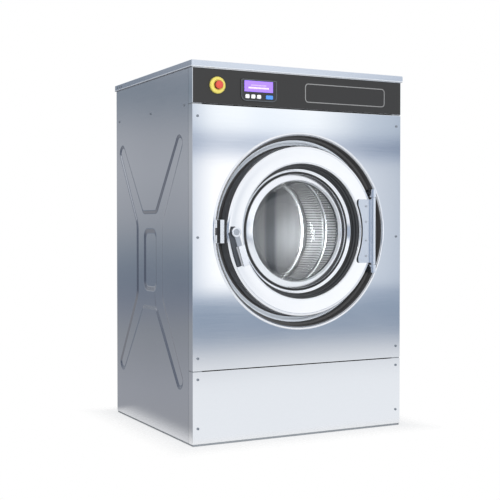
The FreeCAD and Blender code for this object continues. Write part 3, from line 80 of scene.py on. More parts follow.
# Opens a piece and selects the vertices, edges or faces that pass a test
def selectWhere(piece, kind, test):
    editPiece(piece)
    bpy.ops.mesh.select_mode(type=kind)
    bpy.ops.object.mode_set(mode="OBJECT")
    mesh = piece.data
    if kind == "VERT":
        for vertex in mesh.vertices:
            vertex.select = test(vertex.co)
    elif kind == "EDGE":
        for edge in mesh.edges:
            edge.select = test(*[mesh.vertices[index].co for index in edge.vertices])
    else:
        for face in mesh.polygons:
            face.select = test(face.center, face.normal)
    bpy.ops.object.mode_set(mode="EDIT")


def bevelWhere(piece, test, width, segments=3, kind="EDGE"):
    selectWhere(piece, kind, test)
    bpy.ops.mesh.bevel(offset=width, segments=segments, affect="EDGES" if kind == "EDGE" else "VERTICES")
    bpy.ops.object.mode_set(mode="OBJECT")


# Whether all spots lie at one level of an axis
def atLevel(spots, axis, level, margin):
    return all(abs(spot[axis] - level) < margin for spot in spots)


def applyModifier(piece, kind, **settings):
    pick(piece)
    modifier = piece.modifiers.new(kind.title(), kind)
    for key, setting in settings.items():
        setattr(modifier, key, setting)
    bpy.ops.object.modifier_apply(modifier=modifier.name)


def roundEdges(piece, width, segments=3, angle=32):
    applyModifier(piece, "BEVEL", width=width, segments=segments, limit_method="ANGLE",
                  angle_limit=math.radians(angle), harden_normals=False)


def finishPiece(piece, body, finish, replaced=(), smoothAngle=35, flat=True):
    pick(piece)
    bpy.ops.object.transform_apply()
    bpy.ops.object.shade_smooth_by_angle(angle=math.radians(smoothAngle))
    if flat:  # broad faces stay flat between softened edges
        applyModifier(piece, "WEIGHTED_NORMAL", weight=80, keep_sharp=True)
    piece.data.materials.clear()
    piece.data.materials.append(finishes[finish])
    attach(piece, body)
    if replaced:
        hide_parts(*replaced)
    return piece


# A second finish on some faces of a finished piece
def shadeFaces(piece, finish, test):
    piece.data.materials.append(finishes[finish])
    number = len(piece.data.materials) - 1
    for face in piece.data.polygons:
        if test(face.center, face.normal):
            face.material_index = number


def cleanNormals(piece):
    editPiece(piece, "SELECT")
    bpy.ops.mesh.remove_doubles(threshold=1e-6)
    bpy.ops.mesh.normals_make_consistent(inside=False)
    bpy.ops.object.mode_set(mode="OBJECT")


# One vertex is drawn out along a closed section (depth behind the front, radius) and spun round a level axis
def spunPiece(name, section, centre, steps, rounds=(), roundSteps=6):
    deselectAll()
    bpy.ops.mesh.primitive_plane_add(size=0.01, location=(0, 0, 0))
    piece = fresh(name)
    bpy.ops.object.mode_set(mode="EDIT")
    bpy.ops.mesh.select_mode(type="VERT")
    bpy.ops.mesh.select_all(action="SELECT")
    bpy.ops.mesh.merge(type="CENTER")
    spots = [Vector((centre.x, frontY + depth, centre.z + radius)) for depth, radius in section]
    bpy.ops.transform.translate(value=spots[0])
    for here, there in zip(spots, spots[1:] + spots[:1]):
        bpy.ops.mesh.extrude_region_move(TRANSFORM_OT_translate={"value": there - here})
    bpy.ops.mesh.select_all(action="SELECT")
    bpy.ops.mesh.remove_doubles(threshold=1e-7)
    bpy.ops.mesh.select_all(action="SELECT")
    bpy.ops.mesh.spin(steps=steps, angle=math.tau, center=(centre.x, 0, centre.z), axis=(0, 1, 0))
    cleanNormals(piece)
    for index, width in rounds:
        roundLoop(piece, centre, *section[index], width, roundSteps)
    return piece


# Softens the ring of edges at one depth and radius
def roundLoop(piece, centre, depth, radius, width, segments, near=2e-5):
    def onLoop(place):
        reach = math.hypot(place.x - centre.x, place.z - centre.z)
        return abs(reach - radius) < near and abs(place.y - frontY - depth) < near

    bevelWhere(piece, lambda one, two: onLoop(one) and onLoop(two), width, segments)


# A spun piece in its finish; the shape holds its section and what differs from the usual
def spunPart(name, body, finish, shape, replaced=(), centre=axisPoint):
    usual = {"steps": 192, "smooth": 60, "rounds": (), "roundSteps": 6, "flat": False}
    full = {**usual, **shape}
    piece = spunPiece(name, full["section"], centre, full["steps"], full["rounds"], full["roundSteps"])
    return finishPiece(piece, body, finish, replaced, full["smooth"], full["flat"])


def slabPiece(name, low, high, rounding=0, segments=3):
    deselectAll()
    bpy.ops.mesh.primitive_cube_add(size=1, location=(Vector(low) + Vector(high)) / 2)
    piece = fresh(name)
    piece.scale = Vector(high) - Vector(low)
    bpy.ops.object.transform_apply()
    if rounding:
        roundEdges(piece, rounding, segments)
    return piece


def slabPart(name, body, finish, shape, replaced=()):
    return finishPiece(slabPiece(name, **shape), body, finish, replaced)


# A raised outline: a plane with its corners rounded, hollowed to the line's width and drawn out
def outlinePiece(name, middle, size, line, rise, corners=(), turn=0):
    deselectAll()
    bpy.ops.mesh.primitive_plane_add(size=1, location=middle, rotation=(math.radians(turn), 0, 0))
    piece = fresh(name)
    piece.scale = (*size, 1)
    bpy.ops.object.transform_apply()
    for test, width, segments in corners:
        bevelWhere(piece, test, width, segments, "VERT")
    editPiece(piece)
    bpy.ops.mesh.select_mode(type="FACE")
    bpy.ops.mesh.select_all(action="SELECT")
    bpy.ops.mesh.inset(thickness=line)
    bpy.ops.mesh.delete(type="FACE")
    bpy.ops.mesh.select_all(action="SELECT")
    bpy.ops.mesh.extrude_region_move(TRANSFORM_OT_translate={"value": rise})
    cleanNormals(piece)
    return piece


# A copy of a node's own mesh with its triangles joined up, ready to be dressed
def mergedCopy(node, name):
    piece = bpy.data.objects.new(name, nodes[node].data.copy())
    scene.collection.objects.link(piece)
    editPiece(piece, "SELECT")
    bpy.ops.mesh.customdata_custom_splitnormals_clear()
    bpy.ops.mesh.remove_doubles(threshold=1e-6)
    bpy.ops.mesh.dissolve_limited(angle_limit=math.radians(0.4))
    bpy.ops.object.mode_set(mode="OBJECT")
    return piece


# A node's own mesh with softened edges
def dressNode(node, name, body, finish, rounding, segments=3):
    piece = mergedCopy(node, name)
    roundEdges(piece, rounding, segments, angle=40)
    return finishPiece(piece, body, finish, [node])


def joinCopies(source, places, name):
    copies = []
    for place in places:
        copy = source.copy()
        copy.data = source.data.copy()
        scene.collection.objects.link(copy)
        copy.data.transform(place)
        copies.append(copy)
    pick(copies[0])
    for copy in copies:
        copy.select_set(True)
    bpy.ops.object.join()
    bpy.data.objects.remove(source)
    return fresh(name)


print("frame loaded")


# Node tools: a socket is fed by another socket or by a plain value, and new nodes join their source's tree
def feed(socket, source):
    if isinstance(source, bpy.types.NodeSocket):
        socket.id_data.links.new(source, socket)
    else:
        socket.default_value = (*source, 1) if socket.type == "RGBA" else source


def plug(node, **sockets):
    for key, source in sockets.items():
        feed(node.inputs[key.replace("_", " ")], source)


def addNode(tree, kind, settings=None, **sockets):
    node = tree.nodes.new("ShaderNode" + kind)
    for key, setting in (settings or {}).items():
        setattr(node, key, setting)
    plug(node, **sockets)
    return node


def mathNode(operation, first, *others, kind="Math"):
    node = addNode(first.id_data, kind, {"operation": operation})
    for socket, source in zip(node.inputs, (first, *others)):
        feed(socket, source)
    return node.outputs[0]


def reachNode(one, two):
    squares = [mathNode("POWER", side, 2.0) for side in (one, two)]
    return mathNode("SQRT", mathNode("ADD", *squares))


def rangeNode(source, low, high, fromLow=0.0, fromHigh=1.0, smooth=False):
    node = addNode(source.id_data, "MapRange", {"interpolation_type": "SMOOTHSTEP" if smooth else "LINEAR"},
                   Value=source, From_Min=fromLow, From_Max=fromHigh, To_Min=low, To_Max=high)
    return node.outputs[0]


def mixColour(factor, first, second):
    node = addNode(factor.id_data, "Mix", {"data_type": "RGBA"})
    for index, source in ((0, factor), (6, first), (7, second)):
        feed(node.inputs[index], source)
    return node.outputs[2]


def tinted(colour, tint):
    node = addNode(colour.id_data, "Mix", {"data_type": "RGBA", "blend_type": "MULTIPLY"}, Factor=1.0)
    feed(node.inputs[6], colour)
    feed(node.inputs[7], tint)
    return node.outputs[2]


def noiseNode(place, scale, detail=2.0, roughness=0.5):
    node = addNode(place.id_data, "TexNoise", Vector=place, Scale=scale, Detail=detail, Roughness=roughness)
    return node.outputs["Fac"]


def placeNode(tree, kind="Object"):
    return addNode(tree, "TexCoord").outputs[kind]


def splitPlace(place):
    return addNode(place.id_data, "SeparateXYZ", Vector=place).outputs


def groupNode(tree, group, **sockets):
    return addNode(tree, "Group", {"node_tree": group}, **sockets).outputs


def bumpNode(height, strength, distance):
    node = addNode(height.id_data, "Bump", Height=height, Strength=strength, Distance=distance)
    return node.outputs["Normal"]


# Shared effects
def newGroup(name, inputs, outputs):
    group = bpy.data.node_groups.new(name, "ShaderNodeTree")
    for label, start in inputs.items():
        kind = "NodeSocketFloat" if isinstance(start, float) else "NodeSocketVector"
        socket = group.interface.new_socket(name=label, in_out="INPUT", socket_type=kind)
        socket.default_value = start
    for label in outputs:
        group.interface.new_socket(name=label, in_out="OUTPUT", socket_type="NodeSocketFloat")
    return group, group.nodes.new("NodeGroupInput").outputs, group.nodes.new("NodeGroupOutput")


# Rolled sheet: fine streaks along one axis, and broad soft clouds
def makeSheetGrain():
    inputs = {"Stretch": (20, 900, 900), "Cloud Size": 3.0}
    group, given, leave = newGroup("sheetGrain", inputs, ("Streak", "Cloud"))
    place = placeNode(group)
    stretched = mathNode("MULTIPLY", place, given["Stretch"], kind="VectorMath")
    plug(leave, Streak=noiseNode(stretched, 1.0, 3.0, 0.6),
         Cloud=noiseNode(place, given["Cloud Size"]))
    return group


# Turned metal: streaks that run round an axis from front to back
def makeTurnedGrain():
    inputs = {"Centre": axisPoint, "Fineness": 900.0}
    group, given, leave = newGroup("turnedGrain", inputs, ("Streak", "Cloud"))
    place = placeNode(group)
    parts = splitPlace(mathNode("SUBTRACT", place, given["Centre"], kind="VectorMath"))
    radius = reachNode(parts["X"], parts["Z"])
    ring = addNode(group, "CombineXYZ", X=mathNode("MULTIPLY", radius, given["Fineness"]),
                   Y=mathNode("MULTIPLY", parts["Y"], given["Fineness"]))
    plug(leave, Streak=noiseNode(ring.outputs[0], 1.0, 3.0, 0.6),
         Cloud=noiseNode(place, 9.0))
    return group


# Moulded or painted skin: a fine tooth and faint clouds
def makeSkinGrain():
    inputs = {"Tooth": 1500.0, "Cloud Size": 12.0}
    group, given, leave = newGroup("skinGrain", inputs, ("Speckle", "Cloud"))
    place = placeNode(group)
    plug(leave, Speckle=noiseNode(place, given["Tooth"], roughness=0.6),
         Cloud=noiseNode(place, given["Cloud Size"]))
    return group


# Rows of punched holes round a drum that lies front to back
def makePunchedRows():
    inputs = {"Centre": axisPoint, "Rows": 168.0, "Row Pitch": 0.0095, "Pitch": 0.0095, "Radius": 0.002}
    group, given, leave = newGroup("punchedRows", inputs, ("Hole", "Rim"))
    centred = mathNode("SUBTRACT", placeNode(group), given["Centre"], kind="VectorMath")
    parts = splitPlace(centred)
    angle = mathNode("ARCTAN2", parts["Z"], parts["X"])
    turn = mathNode("MULTIPLY", mathNode("DIVIDE", angle, math.tau), given["Rows"])
    row = mathNode("FLOOR", turn)
    stagger = mathNode("MULTIPLY", mathNode("MODULO", row, 2.0), 0.5)
    step = mathNode("ADD", mathNode("DIVIDE", parts["Y"], given["Pitch"]), stagger)

    def fromMiddle(share, pitch):
        return mathNode("MULTIPLY", mathNode("SUBTRACT", share, 0.5), pitch)

    aside = fromMiddle(mathNode("SUBTRACT", turn, row), given["Row Pitch"])
    along = fromMiddle(mathNode("FRACT", step), given["Pitch"])
    share = mathNode("DIVIDE", reachNode(aside, along), given["Radius"])
    holeEdge, rimEdge = (0.85, 1.1), (1.0, 1.7)
    plug(leave, Hole=rangeNode(share, 1.0, 0.0, *holeEdge, True),
         Rim=rangeNode(share, 1.0, 0.0, *rimEdge, True))
    return group


sheetGrain = makeSheetGrain()
turnedGrain = makeTurnedGrain()
skinGrain = makeSkinGrain()
punchedRows = makePunchedRows()
print("shared effects made")

# Materials; the grains' noise mostly stays within this span
noiseSpan = (0.3, 0.7)


def newMaterial(name, **sockets):
    material = bpy.data.materials.new(name)
    material.use_nodes = True
    finishes[name] = material
    tree = material.node_tree
    shader = tree.nodes["Principled BSDF"]
    plug(shader, **sockets)
    return tree, shader


def blendNode(fine, cloud, fineShare):
    return mathNode("MULTIPLY_ADD", fine, fineShare, mathNode("MULTIPLY", cloud, 1 - fineShare))


# A surface whose tone, roughness and relief follow one shared grain
def grained(name, colours, roughness, grain, grainInputs, fineShare, bump, **sockets):
    pale, dull = colours
    tree, shader = newMaterial(name, **sockets)
    given = groupNode(tree, grain, **grainInputs)
    blend = blendNode(given[0], given["Cloud"], fineShare)
    plug(shader, Base_Color=mixColour(blend, dull, pale),
         Roughness=rangeNode(blend, *roughness, *noiseSpan), Normal=bumpNode(given[0], *bump))


def sheetSteel(name, pale, dull, roughness, stretch, bump=0.02):
    grained(name, (pale, dull), roughness, sheetGrain, {"Stretch": stretch}, 0.6, (bump, 0.0002),
            Metallic=1.0)


def turnedSteel(name, pale, dull, roughness, fineness=900.0, bump=0.03):
    grained(name, (pale, dull), roughness, turnedGrain, {"Fineness": fineness}, 0.6, (bump, 0.0002),
            Metallic=1.0)


def skinned(name, pale, dull, roughness, tooth=1500.0, bump=0.05, metallic=0.0, **sockets):
    grained(name, (pale, dull), roughness, skinGrain, {"Tooth": tooth}, 0.5, (bump, 0.0001),
            Metallic=metallic, **sockets)


# darker steel for the cross's slopes: painted shade
sheetSteel("embossPaintedShade", (0.53, 0.54, 0.57), (0.49, 0.50, 0.53), (0.16, 0.24), (700, 12, 700))
sheetSteel("frontSteel", (0.93, 0.935, 0.945), (0.89, 0.895, 0.91), (0.05, 0.09), (12, 700, 700), 0.012)
sheetSteel("sideSteel", (0.82, 0.825, 0.84), (0.76, 0.77, 0.80), (0.10, 0.16), (700, 12, 700))
sheetSteel("coverSteel", (0.73, 0.76, 0.81), (0.66, 0.70, 0.77), (0.14, 0.22), (12, 700, 700))
sheetSteel("fittingSteel", (0.82, 0.85, 0.90), (0.74, 0.78, 0.84), (0.14, 0.24), (600, 600, 40))
sheetSteel("handleSteel", (0.92, 0.93, 0.95), (0.84, 0.86, 0.90), (0.10, 0.18), (600, 600, 60))
sheetSteel("trimSatin", (0.92, 0.93, 0.95), (0.86, 0.88, 0.91), (0.20, 0.30), (12, 700, 700))
turnedSteel("ringSteel", (0.925, 0.93, 0.94), (0.885, 0.89, 0.905), (0.10, 0.15), bump=0.012)
turnedSteel("trimChrome", (0.95, 0.95, 0.96), (0.88, 0.89, 0.91), (0.05, 0.09))
turnedSteel("clampSteel", (0.97, 0.975, 0.985), (0.91, 0.925, 0.95), (0.12, 0.20))
turnedSteel("beadSteel", (0.95, 0.95, 0.95), (0.90, 0.90, 0.91), (0.22, 0.32), 400.0)
turnedSteel("lifterSteel", (0.80, 0.80, 0.81), (0.70, 0.70, 0.72), (0.22, 0.34), 300.0)
skinned("coneSteel", (0.86, 0.92, 1.0), (0.81, 0.88, 0.97), (0.18, 0.26), metallic=0.1)
skinned("screwSteel", (0.36, 0.39, 0.43), (0.24, 0.26, 0.29), (0.30, 0.42), metallic=1.0)
# near black steel for faces and pieces that stand in for shade, shadow and dark reflection: painted shade
skinned("paintedShadeSteel", (0.10, 0.11, 0.125), (0.065, 0.07, 0.08), (0.35, 0.50), metallic=0.6)
skinned("neckSteel", (0.46, 0.49, 0.54), (0.36, 0.39, 0.43), (0.30, 0.42), metallic=0.7)
skinned("boltSteel", (0.62, 0.64, 0.68), (0.48, 0.50, 0.54), (0.25, 0.38), metallic=1.0)
skinned("sleeveSatin", (0.86, 0.88, 0.92), (0.80, 0.83, 0.87), (0.30, 0.42), metallic=0.2)
skinned("valveBrass", (0.78, 0.60, 0.28), (0.64, 0.47, 0.20), (0.25, 0.40), metallic=1.0)
skinned("doorRimDark", (0.075, 0.076, 0.080), (0.055, 0.056, 0.060), (0.40, 0.52))
skinned("fasciaFilm", (0.0250, 0.0242, 0.0235), (0.0190, 0.0182, 0.0178), (0.38, 0.50), 2400.0)
skinned("bezelBlack", (0.030, 0.030, 0.032), (0.022, 0.022, 0.024), (0.30, 0.42), 2400.0)
skinned("bezelRimGrey", (0.16, 0.18, 0.20), (0.11, 0.125, 0.14), (0.35, 0.5))
skinned("plateGrey", (0.30, 0.30, 0.30), (0.24, 0.24, 0.24), (0.35, 0.48), 2000.0)
skinned("recessEnamel", (0.085, 0.084, 0.085), (0.066, 0.065, 0.066), (0.42, 0.55))
skinned("cuffGloss", (0.026, 0.027, 0.030), (0.018, 0.019, 0.021), (0.26, 0.34), 1500.0, 0.01,
        Coat_Weight=0.4, Coat_Roughness=0.15)
skinned("gasketRubber", (0.030, 0.030, 0.031), (0.018, 0.018, 0.019), (0.55, 0.75), 900.0, 0.15)
skinned("beltRubber", (0.040, 0.040, 0.041), (0.022, 0.022, 0.023), (0.60, 0.80), 700.0, 0.2)
skinned("stopYellow", (0.80, 0.70, 0.17), (0.66, 0.56, 0.11), (0.22, 0.34))
skinned("stopRed", (0.74, 0.10, 0.065), (0.60, 0.070, 0.045), (0.18, 0.30))
skinned("keyWhite", (0.90, 0.91, 0.92), (0.82, 0.83, 0.85), (0.30, 0.42))
skinned("keyBlue", (0.11, 0.34, 0.86), (0.075, 0.25, 0.72), (0.28, 0.40))
skinned("framePaint", (0.26, 0.28, 0.30), (0.20, 0.215, 0.235), (0.42, 0.60), 800.0, 0.12)
skinned("motorEnamel", (0.16, 0.24, 0.32), (0.12, 0.185, 0.25), (0.30, 0.46), 900.0, 0.10)
skinned("castGrey", (0.20, 0.20, 0.21), (0.13, 0.13, 0.14), (0.50, 0.70), 500.0, 0.35, 0.7)
skinned("mouldGrey", (0.42, 0.44, 0.46), (0.35, 0.37, 0.39), (0.40, 0.55), 1200.0, 0.10)
skinned("pipeGrey", (0.30, 0.31, 0.33), (0.24, 0.25, 0.27), (0.35, 0.50), 1200.0, 0.08)
skinned("boardGreen", (0.045, 0.22, 0.09), (0.03, 0.15, 0.06), (0.35, 0.5), 300.0)


def makeDoorGlass():
    tree, shader = newMaterial("doorGlass", Transmission_Weight=1.0, IOR=1.46, Metallic=0.0)
    grain = groupNode(tree, skinGrain, Tooth=60.0)
    tint = mixColour(grain["Cloud"], (0.96, 0.985, 0.99), (0.985, 0.995, 0.995))
    plug(shader, Base_Color=tint, Roughness=rangeNode(grain["Speckle"], 0.0, 0.02))


def makeDrumSteel():
    holes = {"Rows": 168.0, "Row_Pitch": 0.0095, "Pitch": 0.0036, "Radius": 0.0019}
    tree, shader = newMaterial("drumSteel")
    grain = groupNode(tree, turnedGrain, Fineness=500.0)
    rows = groupNode(tree, punchedRows, **holes)
    steel = mixColour(grain["Streak"], (0.90, 0.90, 0.91), (0.97, 0.97, 0.975))
    # the holes are painted near black: painted shade inside the openings
    plug(shader, Base_Color=mixColour(rows["Hole"], steel, (0.04, 0.04, 0.043)),
         Metallic=rangeNode(rows["Hole"], 0.40, 0.0), Roughness=rangeNode(rows["Hole"], 0.24, 0.8),
         Normal=bumpNode(rows["Rim"], 0.25, -0.0006))


# Straight rolled grain, with one darker vertical band beside the hub: a painted reflection
def makeDrumBackSteel():
    back = {"pale": (0.50, 0.505, 0.52), "dull": (0.27, 0.275, 0.285), "dark": (0.13, 0.14, 0.16),
            "reflectionBandAt": 0.115, "reflectionBandHalf": (0.010, 0.034), "grain": (90, 90, 2)}
    tree, shader = newMaterial("drumBackSteel", Metallic=0.82)
    grain = groupNode(tree, skinGrain, Tooth=260.0, Cloud_Size=7.0)
    streaks = groupNode(tree, sheetGrain, Stretch=back["grain"])
    blend = mathNode("MULTIPLY", blendNode(grain["Speckle"], grain["Cloud"], 0.6),
                     rangeNode(streaks["Streak"], 0.75, 1.25, *noiseSpan))
    across = splitPlace(placeNode(tree))["X"]
    aside = mathNode("ABSOLUTE", mathNode("SUBTRACT", across, back["reflectionBandAt"]))
    # darker band across the back: painted reflection
    band = rangeNode(aside, 1.0, 0.0, *back["reflectionBandHalf"], True)
    steel = mixColour(blend, back["dull"], back["pale"])
    plug(shader, Base_Color=mixColour(band, steel, back["dark"]),
         Roughness=rangeNode(blend, 0.28, 0.38, *noiseSpan),
         Normal=bumpNode(grain["Speckle"], 0.02, 0.0006))


# Lit screen: a fine dot grid with two rows of blank character cells
def makeScreen():
    screen = {"violet": (0.30, 0.17, 0.80), "lit": (0.80, 0.74, 1.0), "dot": 0.00051, "dotFill": 0.86,
              "gapTone": 0.86, "cell": 0.0044, "cellFill": 0.72}
    lines = ({"height": 0.60, "halfHeight": 0.055, "halfWidth": 0.26, "tone": 0.35},
             {"height": 0.36, "halfHeight": 0.075, "halfWidth": 0.36, "tone": 0.85})
    low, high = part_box("display_screen")
    tree, shader = newMaterial("screenViolet", Emission_Strength=0.55, Roughness=0.15)
    parts = splitPlace(placeNode(tree))
    across = rangeNode(parts["X"], 0.0, 1.0, low.x, high.x)
    up = rangeNode(parts["Z"], 0.0, 1.0, low.z, high.z)

    def filled(way, pitch, fill):
        return mathNode("LESS_THAN", mathNode("FRACT", mathNode("DIVIDE", way, pitch)), fill)

    def within(way, middle, half):
        aside = mathNode("ABSOLUTE", mathNode("SUBTRACT", way, middle))
        return mathNode("LESS_THAN", aside, half)

    inCell = filled(parts["X"], screen["cell"], screen["cellFill"])
    text = 0.0
    for line in lines:
        row = mathNode("MULTIPLY", within(up, line["height"], line["halfHeight"]),
                       within(across, 0.5, line["halfWidth"]))
        text = mathNode("MULTIPLY_ADD", mathNode("MULTIPLY", row, inCell), line["tone"], text)
    grid = [filled(parts[way], screen["dot"], screen["dotFill"]) for way in "XZ"]
    dots = rangeNode(mathNode("MULTIPLY", *grid), screen["gapTone"], 1.0)
    shade = tinted(mixColour(text, screen["violet"], screen["lit"]), dots)
    plug(shader, Base_Color=shade, Emission_Color=shade)


makeDoorGlass()
makeDrumSteel()
makeDrumBackSteel()
makeScreen()

# Finishes of the nodes that are shown as they are
nodeFinish = {
    "sideSteel": ["rear_panel"],
    "coverSteel": ["dispenser_lid"],
    "ringSteel": ["glass_retainer"],
    "recessEnamel": ["recess_ring", "tub_front_plate"],
    "gasketRubber": ["door_gasket", "water_hoses", "shaft_seal"],
    "beltRubber": ["drive_belts"],
    "screenViolet": ["display_screen"],
    "drumSteel": ["drum_shell"],
    "drumBackSteel": ["drum_back", "outer_tub"],
    "boltSteel": ["drum_shaft", "drum_bearings", "motor_shaft", "hinge_pin", "latch_spindle", "door_screws"],
    "framePaint": ["base_frame", "upright_frame", "tub_cradles", "motor_bracket"],
    "castGrey": ["bearing_housing", "drum_pulley", "motor_pulley"],
    "motorEnamel": ["motor_body"],
    "boardGreen": ["control_board"],
    "mouldGrey": ["inverter_box", "dispenser_box", "drain_valve", "cable_gland"],
    "pipeGrey": ["drain_pipe"],
    "valveBrass": ["water_valves"],
}
for finish, names in nodeFinish.items():
    for name in names:
        nodes[name].data.materials.clear()
        nodes[name].data.materials.append(finishes[finish])
print("finishes assigned")


# Whether a ray comes from the camera, and whether it was mirrored or passed through glass
def rayKinds(tree):
    paths = addNode(tree, "LightPath").outputs
    return paths["Is Camera Ray"], mathNode("MAXIMUM", paths["Is Glossy Ray"], paths["Is Transmission Ray"])


# Studio: white room with a softer grey behind the machine, pale floor, three soft lamps
def makeRoom():
    # turns are in radians, lifts are sines of the height above the horizon
    room = {"ceiling": (0.94, 0.96, 1.0), "dim": (0.50, 0.51, 0.53), "bandLift": 0.25,
            "squeeze": 1.10, "squeezeTurn": (math.radians(25), math.radians(35)),
            "rearTurn": (math.radians(80), math.radians(130)), "footTurn": (0.9, 1.3),
            "footLift": (-0.072, -0.060), "fadeLift": (0.12, 0.2), "ceilingLift": (0.22, 0.5)}
    white = (1.0, 1.0, 1.0)
    world = bpy.data.worlds.new("room")
    scene.world = world
    world.use_nodes = True
    tree = world.node_tree
    tree.nodes.clear()
    parts = splitPlace(placeNode(tree, "Generated"))
    turn = mathNode("ARCTAN2", parts["X"], mathNode("MULTIPLY", parts["Y"], -1.0))
    aside = mathNode("ABSOLUTE", turn)

    # stops are in degrees; measure turns them into the source's own unit
    def bands(source, reach, measure, stops):
        ramp = addNode(tree, "ValToRGB")
        elements = ramp.color_ramp.elements
        while len(elements) < len(stops):
            elements.new(0.5)
        for element, (degrees, colour) in zip(elements, stops):
            element.position = 0.5 + measure(math.radians(degrees)) / (2 * reach)
            element.color = (*colour, 1)
        feed(ramp.inputs[0], rangeNode(source, 0.0, 1.0, -reach, reach))
        return ramp.outputs[0]

    # the bands seen in the front close up a little towards the right
    squeeze = rangeNode(turn, 1.0, room["squeeze"], *room["squeezeTurn"])
    frontBands = bands(mathNode("MULTIPLY", parts["Z"], squeeze), room["bandLift"], math.sin, [
        (-9.0, (0.86, 0.89, 0.93)), (-8.0, (0.76, 0.79, 0.83)), (-7.3, (0.62, 0.65, 0.70)),
        (-6.8, (0.42, 0.47, 0.55)), (-6.3, (0.29, 0.35, 0.45)), (-4.9, (0.27, 0.34, 0.445)),
        (-4.4, (0.31, 0.38, 0.49)), (-3.95, (0.54, 0.62, 0.74)), (-3.55, (1.16, 1.18, 1.20)),
        (3.7, (1.20, 1.20, 1.20)), (4.1, (0.70, 0.77, 0.90)), (4.6, (0.44, 0.50, 0.61)),
        (5.0, (0.56, 0.63, 0.76)), (5.5, (1.05, 1.10, 1.14)), (9.0, (1.03, 1.06, 1.10))])
    rearBands = bands(parts["Z"], room["bandLift"], math.sin, [
        (-12.0, (0.34, 0.35, 0.375)), (-9.0, (0.365, 0.38, 0.42)), (-5.6, (0.29, 0.31, 0.34)),
        (-4.6, (0.235, 0.26, 0.32)), (-3.6, (0.195, 0.23, 0.29)), (-2.4, (0.20, 0.24, 0.30)),
        (-1.2, (0.27, 0.31, 0.36)), (0.3, (0.38, 0.40, 0.44)), (3.0, (0.44, 0.46, 0.50)),
        (5.0, (0.41, 0.43, 0.47)), (7.5, (0.21, 0.255, 0.31)), (9.0, (0.30, 0.33, 0.38)),
        (12.0, (0.80, 0.83, 0.88))])
    sides = bands(turn, math.pi, float, [
        (-160, white), (-157.5, (0.84, 0.85, 0.86)), (-155, white), (-140, (0.60, 0.63, 0.70)),
        (-100, (0.34, 0.39, 0.48)), (-24, (0.34, 0.40, 0.50)), (-8, white), (20.5, white),
        (22.5, (0.44, 0.50, 0.60)), (23.7, (0.44, 0.50, 0.60)), (25.0, white), (27.6, white),
        (28.7, (0.80, 0.84, 0.90)), (29.8, white), (31.6, white), (33.4, (0.555, 0.60, 0.67)),
        (35.0, (0.55, 0.595, 0.665)), (35.6, (0.32, 0.37, 0.44)), (37.5, (0.42, 0.47, 0.55)),
        (42, (0.62, 0.67, 0.75)), (52, (0.88, 0.91, 0.95)), (80, (0.92, 0.95, 1.0)), (130, white)])
    # the sides' uprights fade out above and below, and by the floor in front
    frontFoot = mathNode("MULTIPLY", rangeNode(aside, 1.0, 0.0, *room["footTurn"], True),
                         rangeNode(parts["Z"], 1.0, 0.0, *room["footLift"], True))
    lift = mathNode("ABSOLUTE", parts["Z"])
    outward = mathNode("MAXIMUM", rangeNode(lift, 0.0, 1.0, *room["fadeLift"], True), frontFoot)
    toRear = rangeNode(aside, 0.0, 1.0, *room["rearTurn"], True)
    wall = tinted(mixColour(toRear, frontBands, rearBands), mixColour(outward, sides, white))
    overhead = rangeNode(parts["Z"], 0.0, 1.0, *room["ceilingLift"], True)
    studio = mixColour(overhead, wall, room["ceiling"])
    direct, mirrored = rayKinds(tree)
    seen = mixColour(direct, mixColour(mirrored, room["dim"], studio), white)
    background = addNode(tree, "Background", Color=seen, Strength=1.0)
    addNode(tree, "OutputWorld", Surface=background.outputs[0])


def makeFloor():
    floor = {"radius": 0.85, "drop": 0.0005, "colour": (0.90, 0.91, 0.92), "whiteShare": 0.62,
             "half": (0.375, 0.325), "corner": 0.05, "fade": (-0.02, 0.13)}
    deselectAll()
    bpy.ops.mesh.primitive_circle_add(vertices=96, radius=floor["radius"], fill_type="NGON",
                                      location=(0, 0, -floor["drop"]))
    piece = fresh("studioFloor")
    bpy.ops.object.transform_apply()
    material = bpy.data.materials.new("paleFloor")
    material.use_nodes = True
    tree = material.node_tree
    tree.nodes.clear()

    def mixShader(factor, first, second):
        node = addNode(tree, "MixShader")
        for socket, source in zip(node.inputs, (factor, first.outputs[0], second.outputs[0])):
            feed(socket, source)
        return node

    seen = mathNode("MAXIMUM", *rayKinds(tree))
    matt = addNode(tree, "BsdfDiffuse", Color=floor["colour"])
    glow = addNode(tree, "Emission", Strength=1.0)
    lit = mixShader(mathNode("MULTIPLY", seen, floor["whiteShare"]), matt, glow)
    parts = splitPlace(placeNode(tree))
    beyond = [mathNode("SUBTRACT", mathNode("ABSOLUTE", parts[axis]), half)
              for axis, half in zip("XY", floor["half"])]
    fade = rangeNode(mathNode("SMOOTH_MAX", *beyond, floor["corner"]), 0.0, 1.0, *floor["fade"], True)
    edge = mixShader(fade, lit, addNode(tree, "BsdfTransparent"))
    addNode(tree, "OutputMaterial", Surface=edge.outputs[0])
    piece.data.materials.append(material)


def makeLamps():
    lamps = {
        "frontLamp": {"place": (-1.5, -2.9, 1.0), "aim": (0, 0, 0.62), "size": (1.1, 1.1), "power": 36},
        "lowLamp": {"place": (-0.9, -3.0, 0.42), "aim": (0, 0, 0.7), "size": (0.9, 0.7), "power": 24},
        "keyLamp": {"place": (-0.6, -2.6, 2.4), "aim": (0, 0, 0.6), "size": (1.6, 1.6), "power": 12},
    }
    for name, settings in lamps.items():
        deselectAll()
        bpy.ops.object.light_add(type="AREA", location=settings["place"])
        lamp = fresh(name)
        lamp.data.shape = "RECTANGLE"
        lamp.data.size, lamp.data.size_y = settings["size"]
        lamp.data.energy = settings["power"]
        aim = Vector(settings["aim"]) - lamp.location
        lamp.rotation_euler = aim.to_track_quat("-Z", "Y").to_euler()
        lamp.visible_glossy = False


